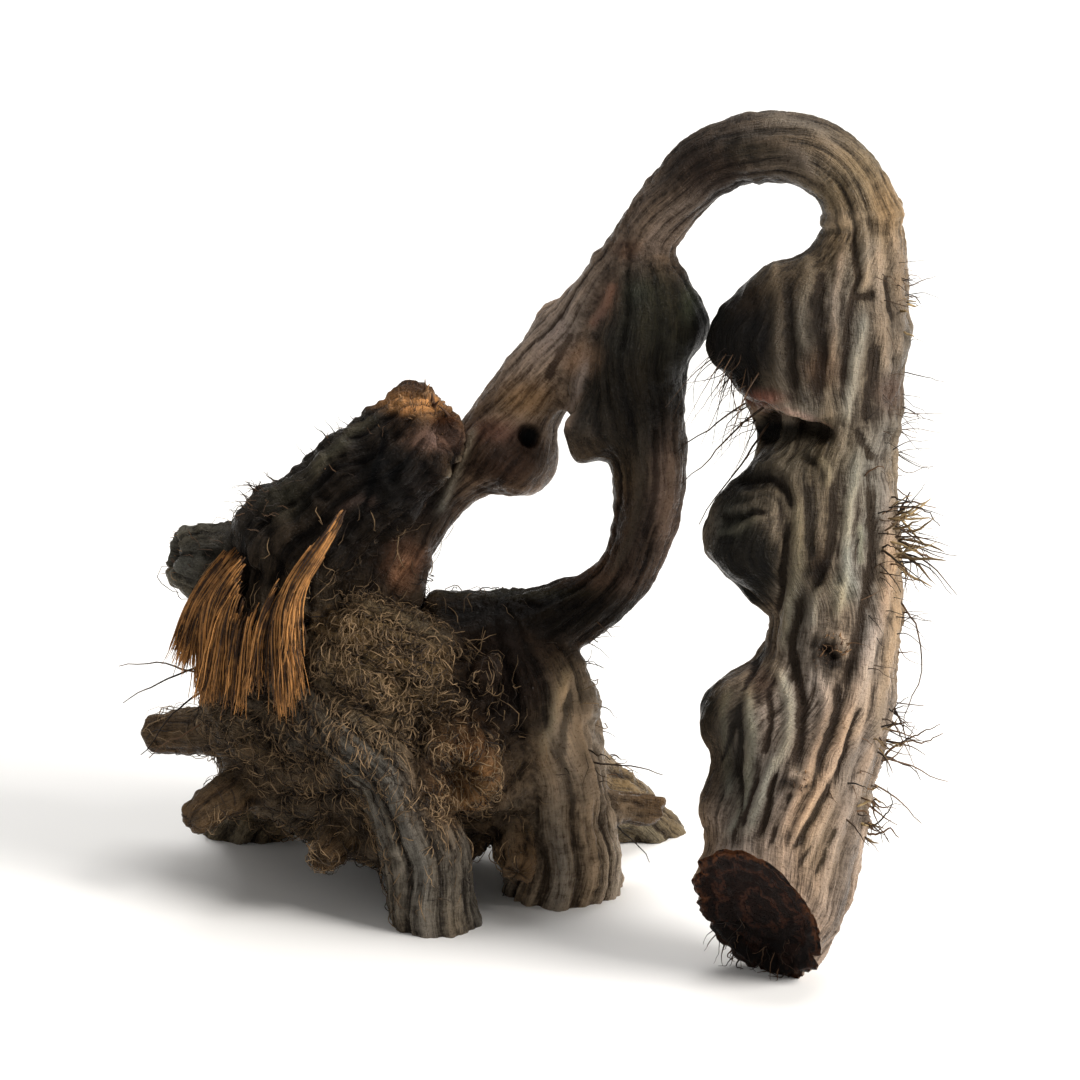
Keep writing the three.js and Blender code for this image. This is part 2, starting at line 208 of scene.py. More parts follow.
BACK_RIGHT_ROOT = [
    [-4.0, 4.6, 8.6, 5.0],
    [1.0, 8.0, 5.0, 3.2],
    [4.8, 10.4, 2.0, 2.4],
    [7.6, 12.0, -1.4, 2.1],
]
SCAR_STUB = [
    [-7.6, -1.0, 11.6, 3.4],
    [-7.4, -4.8, 11.2, 3.0],
    [-7.2, -6.6, 10.9, 2.8],
]

# Broken-off roots round the crown: foot of the stub, direction, length and radius
BROKEN_STUBS = [
    ([-21.5, 2.0, 8.6], [-0.7, -0.7, -0.3], 7.5, 1.3),
    ([-23.0, 7.0, 10.0], [-1.0, 0.4, -0.25], 7.5, 1.5),
    ([-11.0, 9.5, 9.5], [-0.2, 1.0, 0.05], 8.0, 1.6),
    ([-5.5, 7.5, 13.5], [0.4, 0.9, 0.4], 5.0, 1.2),
    ([-15.0, -1.5, 6.0], [-0.5, -1.0, -0.3], 5.5, 1.2),
    ([-3.6, -1.4, 5.6], [0.1, -1.0, -0.35], 5.5, 1.3),
    ([1.0, 1.0, 6.4], [1.0, 0.2, -0.2], 6.5, 1.1),
    ([-6.0, 0.0, 15.0], [0.2, -0.7, 0.7], 4.5, 1.1),
    ([-17.0, 10.0, 14.0], [-0.4, 0.8, 0.5], 5.5, 1.4),
]

# Knobs raised on the bark: [x, y, z, height, width]
CANE_KNOBS = [
    [15.4, -2.7, 43.1, 4.2, 4.6],
    [14.9, -7.0, 30.6, 3.9, 3.6],
    [14.8, -8.0, 27.4, 1.5, 2.6],
    [14.8, -5.6, 36.9, -1.5, 1.8],
    [17.0, -9.2, 38.0, -0.9, 1.8],
    [13.4, -11.9, 17.8, 3.2, 3.3],
    [11.8, -14.6, 12.4, 1.5, 2.3],
    [23.9, -3.4, 43.4, 0.7, 1.4],
    [-3.2, 4.2, 31.7, 2.8, 2.7],
    [-0.2, 6.6, 41.0, 0.8, 2.0],
]
LOOP_KNOBS = [
    [2.9, 0.6, 35.4, 2.9, 2.1],
    [8.7, 0.7, 38.0, 0.7, 2.0],
]
CROWN_KNOBS = [
    [-17.4, -1.8, 14.0, 1.7, 3.0],
    [-12.6, -2.4, 15.6, 2.0, 2.8],
    [-7.2, -1.4, 17.0, 1.9, 2.6],
    [-2.6, -2.8, 9.0, 1.6, 2.6],
    [-9.0, 10.8, 14.4, 2.4, 3.4],
    [-15.2, 12.4, 8.0, 2.0, 3.2],
    [-21.8, 1.2, 11.0, 1.6, 2.6],
    [-3.4, 8.8, 12.0, 1.8, 2.6],
    [-13.0, -3.4, 6.0, 1.4, 3.0],
]
STUMP_KNOBS = [
    [-10.6, 4.6, 35.4, 1.4, 2.0],
    [-21.8, 2.2, 27.6, 1.0, 2.4],
    [-22.6, 7.6, 23.0, 1.4, 3.0],
]

# The chopped end is one oblique cut, through the skin right of and in front of this x and y
CUT_ROOM = (6, -8)
CUT_POINT = np.array([13.4, -17.9, 5.0])
CUT_NORMAL = np.array([-0.53, -0.76, -0.37]) / np.linalg.norm([-0.53, -0.76, -0.37])

# Where rootlets grow: centre of a limb there, its radius, their middle direction, count and length
TUFTS = [
    ([19.2, -6.4, 30.4], 4.6, [1, -0.1, 0.1], 5, 4.2),
    ([18.0, -12.0, 16.6], 4.9, [1, 0.2, 0.0], 5, 3.8),
    ([20.4, -2.6, 43.6], 4.2, [1, 0.3, 0.1], 2, 2.4),
    ([17.4, -4.2, 40.4], 7.0, [-0.9, 0.1, -0.5], 3, 3.6),
    ([19.0, -6.0, 32.0], 4.4, [0.3, 1, 0.1], 3, 3.2),
    ([-23.0, 6.0, 14.0], 4.6, [-1, 0.0, -0.2], 4, 5.2),
    ([-13.0, 5.0, 12.0], 7.6, [-0.1, 1, 0.1], 4, 5.0),
    ([-12.0, 4.6, 12.0], 7.2, [-0.4, -1, -0.4], 4, 4.2),
    ([-0.6, 0.6, 9.0], 3.6, [1, -0.2, 0.0], 3, 3.6),
]
ROOTLET_SINK = 0.45
ROOTLET_RADIUS = 0.1

# The torn sheath hangs from rails round the stump: its feet, its belly and its tips
SHEATH_TOP = [[-14.9, -1.5, 29.6], [-18.6, -1.8, 27.2], [-21.6, -0.8, 26.4], [-24.4, 1.6, 26.2]]
SHEATH_MIDDLE = [[-18, -2.8, 24.4], [-20.8, -2.5, 22.6], [-24, -0.8, 22.4], [-27, 1.6, 20.8]]
SHEATH_LOW = [[-18.6, -4.8, 17.4], [-21, -3.8, 15.6], [-24.6, -2.4, 15.4], [-27.6, 0.8, 16.4]]
CROWN_AXIS = [-18.5, 5.0]

# A blade's fibres: how far they lie from its middle sideways and in depth, how deep their feet are
# sunk, and the ranges of their lengths, as shares of the blade's, and of their radii
BLADE_HALF_WIDTH = 0.75
BLADE_HALF_DEPTH = 0.16
BLADE_SINK = 0.9
BLADE_LENGTHS = (0.6, 1.05)
BLADE_RADII = (0.03, 0.075)

# Its blades from right to left: where each starts and hangs, as a share of the rails, how far down
# its fibres start, and their number
BLADES = [
    (0.0, 0.1, 0.0, 190),
    (0.03, 0.15, 0.05, 190),
    (0.07, 0.21, 0.2, 130),
    (0.2, 0.3, 0.65, 50),
    (0.34, 0.38, 0.85, 40),
    (0.45, 0.46, 0.95, 40),
    (0.56, 0.54, 0.85, 60),
    (0.66, 0.63, 0.6, 110),
    (0.74, 0.71, 0.3, 160),
    (0.82, 0.79, 0.1, 200),
    (0.9, 0.88, 0.0, 200),
    (0.97, 0.96, 0.0, 150),
]

# Node rings round the cane: at which station, their height and their width
NODE_RINGS = [
    (13.05, 0.24, 0.42),
    (6.9, 0.07, 0.5),
    (16.9, 0.1, 0.45),
    (20.6, 0.1, 0.4),
    (26.2, 0.12, 0.4),
]

# Sharp ledges with a recess below them: [x, y, z, half width]. The lip and the recess are a height,
# how far along the limb they lie from the ledge, and a width
LEDGES = [
    [16.6, -7.6, 38.9, 3.7],
]
LEDGE_LIP = (0.5, 0.5, 0.55)
LEDGE_RECESS = (1.1, -0.8, 0.8)

# Folds of the bark that the picture shows, traced as points of the picture.
# Crests: height in millimetres, half width in pixels, colour and line. Some colours are painted shade,
# as noted
CRESTS = [
    (0.28, 1.3, "8a7862", [(744, 221), (744, 232), (743, 241)]),
    (0.32, 1.3, "85725f", [(737, 225), (735, 234), (733, 243), (733, 252), (732, 260), (732, 267)]),
    (0.26, 1.6, "5a5246", [(727, 228), (725, 235), (723, 243), (722, 251), (722, 257), (724, 262)]),
    (0.38, 1.7, "98907f", [(743, 247), (742, 256), (740, 264), (739, 272), (738, 280), (737, 287)]),
    (0.3, 2.0, "93806b", [(747, 222), (748, 232), (748, 243), (749, 252), (750, 262), (751, 271)]),
    (0.25, 1.6, "94806a", [(753, 218), (754, 230), (755, 242), (755, 255), (754, 266)]),
    # This crest's dark colour is painted shade on the top knob's left side
    (0.2, 1.6, "3d352b", [(716, 231), (715, 243), (714, 256), (714, 268), (716, 278)]),
    (0.35, 1.0, "8c7263", [(704, 281), (712, 281), (720, 282), (727, 285), (734, 288)]),
    (0.2, 1.4, "6f6557", [(731, 272), (731, 281), (735, 290), (737, 297)]),
    (0.34, 1.4, "8a8370", [
        (741, 294), (740, 304), (738, 314), (737, 325), (737, 335), (735, 344), (733, 352),
    ]),
    (0.2, 1.1, "857c68", [(728, 296), (731, 301), (731, 307)]),
    (0.36, 1.7, "a8917c", [
        (749, 298), (751, 309), (751, 320), (752, 330), (751, 341), (749, 350), (746, 358),
        (743, 366), (741, 373), (738, 381), (736, 388), (734, 395), (731, 402), (727, 409),
        (724, 415), (721, 421), (717, 429),
    ]),
    (0.28, 1.9, "67604f", [
        (721, 306), (721, 318), (721, 328), (720, 338), (718, 348), (717, 356), (715, 364),
    ]),
    (0.2, 1.0, "777059", [(742, 318), (742, 326), (742, 333)]),
    (0.22, 1.3, "776e5e", [(728, 338), (727, 346), (726, 354)]),
    (0.25, 1.5, "98856f", [
        (755, 322), (755, 335), (754, 347), (752, 360), (750, 372), (748, 384), (747, 396),
    ]),
    (0.34, 1.8, "8f8570", [
        (713, 364), (716, 371), (718, 379), (718, 387), (716, 394), (712, 401), (709, 410),
        (706, 418), (703, 425),
    ]),
    (0.36, 1.5, "927e6c", [
        (727, 369), (730, 375), (730, 382), (728, 389), (726, 395), (724, 401), (720, 410),
        (716, 417), (712, 425),
    ]),
    (0.3, 1.7, "9f8b77", [
        (746, 361), (744, 372), (742, 382), (740, 391), (738, 399), (734, 408), (730, 417),
        (726, 425), (722, 434),
    ]),
    (0.3, 2.2, "a18c78", [
        (746, 388), (744, 397), (741, 406), (737, 415), (733, 424), (730, 432), (728, 440),
        (730, 450),
    ]),
    (0.3, 1.8, "6d6857", [
        (704, 370), (705, 380), (706, 390), (705, 400), (704, 410), (701, 418), (695, 425),
    ]),
    # This crest's dark colour is painted shade on the lowest knob's left side
    (0.22, 1.5, "4f4b3f", [(698, 371), (696, 381), (697, 391), (698, 402), (698, 412)]),
    # These four crests' dark colours are painted shade on the second knob
    (0.26, 1.2, "4b4337", [(705, 301), (711, 299), (717, 301), (720, 307), (721, 314)]),
    (0.24, 1.1, "3e372d", [(700, 308), (706, 309), (712, 308), (716, 310), (718, 317)]),
    (0.2, 1.0, "3d372e", [(697, 314), (704, 313), (710, 311), (714, 313)]),
    (0.22, 1.2, "3a372d", [(693, 322), (700, 321), (704, 318), (709, 316)]),
    (0.3, 1.4, "776e5f", [(613, 285), (610, 295), (605, 306), (600, 317)]),
    (0.2, 1.8, "4d4636", [(556, 304), (564, 295), (572, 288), (581, 282)]),
    (0.18, 1.5, "3b2d25", [(566, 316), (573, 311), (580, 311)]),
    (0.2, 1.5, "8d7a6b", [(651, 262), (648, 272), (645, 281), (643, 288)]),
    (0.18, 1.6, "7f6d60", [(643, 250), (638, 258), (632, 265)]),
    (0.2, 1.6, "6f5244", [(660, 237), (657, 245), (651, 254)]),
    (0.2, 1.7, "87705f", [(679, 293), (679, 304), (678, 314), (676, 323)]),
    (0.16, 1.3, "3d342a", [(668, 284), (669, 298), (668, 312), (664, 326), (657, 338)]),
    (0.16, 1.6, "70665a", [(735, 196), (728, 188), (719, 184), (709, 183)]),
    (0.14, 1.4, "584e44", [(727, 205), (722, 196), (713, 191), (703, 191)]),
    (0.24, 1.6, "85765f", [(646, 366), (641, 378), (638, 388), (636, 398)]),
    (0.24, 1.8, "8b7a67", [(651, 376), (648, 388), (650, 399), (653, 410)]),
]
# Grooves: depth in millimetres, half width in pixels and line
GROOVES = [
    (0.3, 0.9, [
        (740, 218), (740, 228), (741, 236), (739, 244), (738, 251), (737, 259), (736, 267),
        (736, 276),
    ]),
    (0.3, 1.7, [(747, 258), (746, 266), (745, 273), (744, 280), (744, 286)]),
    (0.26, 1.7, [(729, 233), (728, 243), (728, 253), (729, 262), (728, 270), (728, 278)]),
    (0.22, 1.4, [(719, 238), (718, 248), (718, 258), (719, 268), (720, 277)]),
    (0.28, 1.2, [(740, 243), (744, 243), (747, 242)]),
    (0.18, 0.8, [(750, 236), (751, 244), (752, 252)]),
    (0.95, 2.2, [(704, 286), (711, 286), (718, 286), (725, 287), (730, 289)]),
    (0.5, 1.6, [(708, 290), (714, 290), (719, 289)]),
    (0.2, 1.1, [(740, 287), (743, 292), (746, 298)]),
    (0.24, 1.2, [(722, 296), (727, 298)]),
    (0.28, 1.5, [(734, 302), (733, 311), (732, 320), (731, 329), (728, 336), (726, 342)]),
    (0.34, 1.4, [
        (745, 303), (746, 312), (746, 321), (746, 330), (745, 338), (743, 346), (742, 354),
        (740, 361), (738, 369), (736, 375),
    ]),
    (0.2, 1.1, [(724, 304), (725, 313), (725, 323), (725, 331)]),
    (0.4, 1.6, [
        (723, 342), (721, 350), (719, 358), (720, 367), (722, 376), (722, 385), (721, 393),
        (721, 401),
    ]),
    (0.6, 1.0, [(718, 318), (717, 326), (716, 334), (716, 342), (714, 349)]),
    (0.22, 1.0, [(711, 354), (709, 362), (706, 369), (703, 376)]),
    (0.36, 1.3, [(734, 371), (734, 380), (732, 388), (729, 395), (727, 402)]),
    (0.28, 0.8, [(742, 379), (739, 386), (737, 392), (735, 398), (733, 404)]),
    (0.24, 0.8, [(711, 374), (712, 383), (711, 391), (710, 396)]),
    (0.26, 0.9, [(714, 401), (712, 408), (711, 415), (709, 422)]),
    (0.3, 0.9, [(731, 404), (729, 411), (726, 417), (722, 423), (719, 428)]),
    (0.22, 0.8, [(719, 407), (717, 414), (714, 420), (711, 427)]),
    (0.18, 0.6, [(727, 423), (724, 428), (721, 433)]),
    (0.2, 0.7, [(734, 419), (730, 428), (726, 437)]),
    (0.26, 1.1, [(701, 378), (702, 388), (702, 399), (703, 409), (702, 417), (699, 424)]),
    (0.2, 0.7, [(708, 403), (705, 412), (703, 420)]),
    (0.2, 0.8, [(700, 383), (698, 392), (696, 399)]),
    (0.3, 1.1, [(700, 305), (706, 304), (713, 304), (717, 308), (719, 315)]),
    (0.26, 1.0, [(695, 316), (701, 317), (706, 315), (711, 315)]),
    (0.25, 1.4, [(604, 283), (608, 292), (603, 301)]),
    (0.2, 1.2, [(583, 285), (581, 296), (577, 309), (570, 322)]),
    (0.2, 1.2, [(566, 300), (558, 309), (551, 318)]),
    (0.2, 1.1, [(646, 254), (641, 263), (637, 271)]),
    (0.2, 1.2, [(673, 284), (674, 298), (673, 312), (669, 326)]),
    (0.2, 1.3, [(645, 374), (643, 386), (642, 398)]),
]

# How far a traced crest's colour covers the bark, and how dark a spot's or patch's grooves are
CREST_COVER = 0.85
SPOT_GROOVES = 0.3
PATCH_GROOVES = 0.35

# Patches of other colour, as the picture shows them, some of them painted shade as noted: middle
# and radii in pixels, colour, strength and how sharply they end
PATCHES = [
    (751, 213, 5, 9, "937a5b", 0.75, 2.5),
    (758, 262, 5, 46, "665a4b", 0.7, 3.0),
    (757, 350, 4, 50, "6f6252", 0.6, 3.0),
    (735, 218, 8, 4, "a8967f", 0.8, 2.5),
    # Painted shade on the left part of the leg's top
    (719, 254, 12, 24, "30281f", 0.85, 4.0),
    (729, 268, 7, 7, "5b4433", 0.6, 3.0),
    # Painted shade on the left side of the top knob, this and the next patch
    (700, 258, 14, 22, "0b0806", 0.97, 9.0),
    (703, 240, 7, 8, "33291f", 0.8, 3.0),
    (709, 277, 7, 3, "7a4a3e", 0.75, 3.0),
    # Painted shadow under the ledge below the top knob, this and the next patch
    (716, 288, 13, 3, "0a0806", 0.97, 5.0),
    (710, 288, 7, 5, "0a0806", 0.9, 4.0),
    (752, 275, 5, 7, "6b4e3f", 0.6, 3.0),
    (728, 296, 16, 9, "625845", 0.55, 3.0),
    # Painted shade on the second knob, this and the next two patches
    (702, 306, 16, 10, "241f18", 0.92, 5.0),
    (703, 333, 13, 18, "0d0c08", 0.98, 9.0),
    (700, 316, 8, 6, "22231a", 0.7, 3.0),
    (722, 335, 6, 28, "4c4437", 0.6, 3.0),
    (728, 333, 4, 7, "2c2017", 0.85, 3.0),
    (736, 340, 5, 6, "8a8878", 0.6, 3.0),
    # Painted shade on the left side of the lowest knob, this and the next patch
    (698, 385, 9, 20, "33302a", 0.8, 4.0),
    (690, 380, 4, 16, "121009", 0.9, 4.0),
    (709, 372, 5, 6, "3a2a22", 0.8, 3.0),
    # Painted shade on the left edge of the knob below it, this and the next patch
    (699, 405, 7, 12, "2b2820", 0.7, 3.0),
    (690, 404, 4, 9, "100e0a", 0.8, 3.0),
    # Painted shade in the first bud scar's pit, this and the next patch
    (729, 360, 4, 6, "120b07", 0.95, 3.0),
    (733, 365, 5, 4, "120b07", 0.95, 3.0),
    (735, 359, 2, 3, "c0ad98", 0.8, 3.0),
    (727, 355, 2, 3, "9c8b78", 0.7, 3.0),
    # Painted shade in the second bud scar's pit, this and the next patch
    (718, 405, 3, 2, "140d08", 0.9, 3.0),
    (723, 406, 3, 2, "140d08", 0.95, 3.0),
    (722, 401, 4, 2, "b8a48e", 0.6, 3.0),
    (744, 412, 3, 4, "a8957b", 0.7, 3.0),
    # Painted shade in the third bud scar's pit
    (745, 418, 4, 2, "1c130d", 0.85, 3.0),
    (741, 412, 1, 3, "3d2f23", 0.7, 3.0),
    (740, 428, 9, 16, "9c8875", 0.5, 3.0),
    (729, 425, 7, 14, "76654f", 0.7, 3.0),
    (722, 190, 12, 6, "665b4d", 0.5, 3.0),
    (690, 199, 16, 12, "2b2019", 0.85, 3.0),
    (706, 193, 9, 5, "33322a", 0.5, 3.0),
    (673, 224, 4, 5, "8f7a69", 0.7, 3.0),
    (664, 227, 5, 4, "4f3729", 0.7, 3.0),
    (658, 244, 6, 7, "6e594d", 0.55, 2.5),
    (671, 247, 13, 15, "28261c", 0.9, 4.0),
    (667, 241, 5, 4, "33352a", 0.6, 2.5),
    (685, 245, 3, 6, "4c5240", 0.6, 2.5),
    (668, 278, 16, 22, "1f1910", 0.85, 4.0),
    (678, 312, 6, 22, "967b6a", 0.75, 3.0),
    (665, 322, 9, 16, "33261f", 0.6, 3.0),
    # This near-black band is painted shade where the loop's low bend meets the crown
    (640, 349, 50, 9, "15110b", 0.92, 4.0),
    (620, 342, 30, 2, "33321f", 0.5, 3.0),
    (648, 263, 7, 6, "9f7d62", 0.75, 3.0),
    (640, 256, 7, 7, "8f7d6f", 0.7, 3.0),
    (630, 277, 11, 7, "85643f", 0.75, 3.0),
    (625, 297, 15, 12, "2a1a12", 0.95, 5.0),
    (619, 287, 9, 4, "6e4a3b", 0.7, 3.0),
    # Painted shade in the nodule's hole
    (631, 289, 4, 4, "050302", 0.95, 4.0),
    (575, 315, 27, 26, "1b150f", 0.85, 4.0),
    (589, 304, 16, 12, "0b0907", 0.85, 4.0),
    (548, 309, 9, 8, "3a3527", 0.7, 3.0),
    (598, 310, 8, 14, "1c1613", 0.7, 3.0),
    (594, 278, 12, 4, "dc9c5f", 0.9, 3.0),
    (594, 273, 5, 3, "4a3322", 0.7, 3.0),
    (587, 284, 6, 2, "231810", 0.8, 3.0),
    (603, 284, 5, 2, "553119", 0.8, 3.0),
    (601, 290, 11, 4, "7b5f51", 0.8, 3.0),
    (588, 335, 4, 7, "8d664c", 0.8, 3.0),
    # Painted shade between the crown's lump and the column
    (619, 372, 20, 22, "241b16", 0.85, 4.0),
    (612, 406, 7, 8, "96704a", 0.7, 3.0),
    (648, 396, 9, 16, "cdb69c", 0.8, 3.0),
    (646, 376, 6, 9, "9f8d77", 0.65, 2.5),
]
# Where the skin's parts meet: stations of the cane, the loop's lowest height and the crown's back
LEG_END = 12.9
LOOP_END = 25
LOOP_FOOT = 21
CROWN_SEAM = 4.6

# Where the leg's right edge is worn to crumbs: middle and radii in pixels
CRUMBS = (755, 325, 6, 100)

# Small swells and dents that sharpen the limbs' shapes: [x, y, z, height, width]
SWELLS = [
    [11.3, -3.0, 43.6, 0.9, 2.6],
    [14.6, -2.6, 47.9, 1.1, 3.0],
    [9.9, 0.8, 42.4, 0.5, 1.9],
    [-9.8, 3.0, 21.0, 1.0, 2.0],
    [10.6, 1.0, 38.7, -1.2, 2.8],
    [1.7, 0.8, 33.6, 1.4, 1.5],
    [0.4, 0.8, 36.4, -0.5, 1.2],
    [-9.9, 2.0, 37.3, 0.8, 0.8],
]
SWELL_STEEPNESS = 2.4

# Bud scars on the leg: [x, y, z, height, width]
BUD_SCARS = [
    [19.1, -14.4, 23.7, 1.1, 1.7],
    [16.9, -18.5, 15.2, 1.0, 1.0],
    [21.8, -14.6, 11.7, 1.0, 1.3],
]

# Hollows: [x, y, z, radius, depth]
PITS = [
    [-2.3, 2.1, 34.0, 0.8, 0.7],
    [-8.3, 0.7, 34.7, 1.2, 1.0],
    [-7.1, -7.4, 10.7, 1.7, 1.5],
    [-28.0, 5.9, 23.6, 1.2, 0.9],
    [16.2, -7.6, 37.2, 1.5, 0.5],
]

# How rough the bark is, in millimetres, apart from its ribs
ROUGHNESS = {
    "cane": 0.07,
    "loop_branch": 0.09,
    "stump": 0.42,
    "stump_web": 0.3,
    "arch_web": 0.1,
    "swelling": 0.45,
    "crown": 0.5,
    "column": 0.22,
    "side_stub": 0.3,
    "front_root": 0.18,
    "back_left_root": 0.24,
    "back_right_root": 0.24,
    "scar_stub": 0.32,
    "broken_stub": 0.26,
}

# Bark colours along each limb: station, crests and grooves as hex sRGB
TINTS = {
    "cane": [
        (0, "9b8572", "3b2f26"),
        (4, "938170", "372d25"),
        (8, "7f7464", "342c24"),
        (11, "716556", "302821"),
        (13, "8c7a62", "3a3025"),
        (14, "7b6c56", "2c251d"),
        (15.5, "665a4d", "27211c"),
        (18, "5b4f45", "241e1a"),
        (20, "927c69", "352a22"),
        (22, "b8a18c", "4a3b31"),
        (24, "a08268", "3a2c22"),
        (26.5, "5c4a3d", "1f1712"),
        (28, "4a3b2f", "17110d"),
    ],
    "loop_branch": [
        (0, "4a3d33", "1c1612"),
        (1, "34322b", "121110"),
        (2.5, "2b2c26", "0f0f0d"),
        (3.6, "332d27", "120f0c"),
        (5, "52422f", "1c150f"),
        (7, "5a4536", "1e150f"),
        (9, "43342a", "16100c"),
        (11, "352a21", "110c08"),
    ],
    "stump": [(0, "342c23", "0f0b08"), (5, "312921", "0c0907"), (7, "4d3826", "1a100a")],
    "stump_web": [(0, "33291f", "0e0a07")],
    "arch_web": [(0, "39322b", "12100d")],
    "swelling": [(0, "6e5c44", "2a2017")],
    "crown": [(0, "6b5a45", "221a13"), (6, "493b2d", "19120c")],
    "column": [(0, "3c3027", "140f0b"), (2, "ad967b", "3f3429"), (5, "8d7c68", "33291f")],
    "side_stub": [(0, "4a453b", "1b1814"), (3, "5d584c", "221f1a")],
    "front_root": [(0, "666259", "24211d"), (5, "746a5c", "28221c")],
    "back_left_root": [(0, "66573f", "231b13"), (3, "74664f", "282019")],
    "back_right_root": [(0, "66573f", "231b13"), (3, "74664f", "282019")],
    "scar_stub": [(0, "6f5338", "24170e")],
    "broken_stub": [(0, "4c3f30", "19120d"), (2, "5b4833", "21170f")],
}

# Spots of other colour on the bark, the near-black ones in pits painted shade: [x, y, z], radius, hex
# sRGB and strength
SPOTS = [
    ([-11.3, 2.9, 24.2], 1.8, "9c6f55", 0.7),
    # Painted shade in the pits, this and the next spot
    ([-2.3, 2.1, 34.0], 0.9, "120a06", 0.9),
    ([-8.3, 0.7, 33.6], 1.3, "0f0a07", 0.9),
    ([2.0, -1.8, 13.0], 3.4, "9a8972", 0.6),
    ([-2.6, 0.3, 20.4], 5.0, "2c221a", 0.85),
    ([-3.0, -2.5, 15.5], 3.4, "241b14", 0.8),
    ([-6.8, -5.9, 9.4], 2.2, "94714a", 0.55),
    ([-7.1, -6.6, 10.9], 2.6, "6f4828", 0.55),
    ([-12.8, -4.2, 18.4], 4.6, "7c6849", 0.5),
    ([22.0, -15.0, 12.0], 3.0, "b59d86", 0.4),
]

# The chopped face: its rings of faces, roughness, growth swirls (off its middle, height and pitch),
# dished middle and raised rim (height, share of the radius, width), then its dark wood, its paler
# growth lines and its orange rim
CUT_RINGS = 18
CUT_ROUGHNESS = 0.34
CUT_SWIRL_MIDDLE = [0.6, 0.2, 0.4]
CUT_SWIRL = (0.16, 5.2)
CUT_DISH = 0.55
CUT_RAISED = (0.25, 0.86, 0.1)
CUT_WOOD = "1c100b"
CUT_LINES = "43291d"
CUT_RIM = "6e4226"

# How much each height and each noise wears the bark's crests bare, and how far the noises raise it.
# The hollow and deep heights instead darken the bark in its hollows: painted shade
HEIGHT_WEAR_AND_SHADE = {"ridge": 0.12, "fold": 0.62, "hollow": -1.6, "deep": -0.3}
NOISE_WEAR = {"strands": 1.5, "threads": 1.1, "mottle": 0.8, "checks": 0.5}
BASE_WEAR = 0.46
RELIEF_DEPTH = 0.45
NOISE_RELIEF = {"strands": 0.9, "threads": 0.45, "checks": 0.3, "dust": 0.35}

# The room that hairs may take: just past the solid part's own box
ROOM_LOW = np.array([-32.6, -22.6, 0.0])
ROOM_HIGH = np.array([28.2, 19.1, 59.4])

# Tufts of hairs: pixel of the picture, spread in pixels, direction, count, length and thickness
HAIR_TUFTS = [
    ((756, 241), 5.0, (1.0, -0.2, 0.1), 26, 2.4, 0.045),
    ((756, 288), 8.0, (1.0, -0.1, 0.1), 34, 2.6, 0.045),
    ((753, 318), 5.0, (1.0, -0.2, 0.3), 22, 4.2, 0.07),
    ((753, 328), 4.0, (1.0, -0.3, -0.3), 16, 4.0, 0.09),
    ((752, 350), 12.0, (1.0, -0.2, 0.0), 26, 2.6, 0.05),
    ((752, 386), 5.0, (1.0, -0.3, 0.1), 18, 3.2, 0.08),
    ((748, 412), 7.0, (0.9, -0.5, -0.3), 30, 2.0, 0.09),
    ((700, 268), 5.0, (-0.5, -0.3, -0.9), 40, 4.6, 0.05),
    ((703, 286), 3.0, (-0.8, -0.3, -0.4), 12, 3.2, 0.05),
    ((702, 458), 5.0, (-0.5, -0.3, -0.8), 30, 1.9, 0.06),
    ((715, 464), 5.0, (-0.1, -0.5, -0.8), 20, 1.4, 0.07),
    ((540, 311), 6.0, (-0.8, -0.2, 0.6), 60, 1.5, 0.05),
    ((564, 290), 8.0, (-0.5, -0.2, 0.8), 30, 1.1, 0.05),
    ((522, 330), 5.0, (-0.8, -0.2, 0.5), 20, 1.2, 0.05),
    ((731, 361), 2.0, (0.1, -1.0, 0.1), 16, 1.0, 0.06),
    ((721, 405), 2.0, (0.1, -1.0, 0.1), 12, 0.9, 0.06),
    ((654, 360), 5.0, (0.9, -0.2, 0.2), 14, 1.6, 0.05),
    ((655, 392), 8.0, (0.9, -0.2, 0.0), 20, 1.6, 0.06),
]

# Single twigs beside the leg: thickness, depth in the model's frame and line in the picture
TWIGS = [
    (0.08, -9.0, [(755, 344), (761, 353), (763, 366), (759, 379), (756, 391)]),
    (0.11, -10.0, [(750, 397), (757, 392), (764, 392), (770, 389)]),
    (0.09, -10.0, [(756, 393), (762, 389), (769, 386)]),
    (0.15, -6.0, [(753, 321), (756, 314), (759, 308)]),
    (0.1, -6.0, [(752, 317), (759, 313), (765, 315), (769, 320)]),
    (0.15, -6.0, [(752, 323), (760, 327), (765, 330), (770, 331)]),
    (0.08, -14.0, [(745, 421), (750, 417), (753, 412), (751, 407)]),
    (0.12, -14.0, [(742, 421), (747, 423), (752, 421), (755, 424)]),
    (0.07, -8.0, [(752, 334), (759, 338), (764, 335)]),
]

# Dry scraps of husk: pixel of the picture, spread in pixels, direction, count, length and thickness
HUSKS = [
    ((754, 317), 3.0, (1.0, -0.3, 0.35), 15, 3.0, 0.09),
    ((754, 327), 2.5, (1.0, -0.3, -0.15), 12, 3.3, 0.1),
    ((757, 249), 2.5, (1.0, -0.3, 0.0), 8, 1.2, 0.09),
    ((751, 390), 3.0, (1.0, -0.4, 0.2), 8, 1.5, 0.08),
    ((749, 415), 5.0, (0.8, -0.6, 0.0), 10, 1.2, 0.1),
]

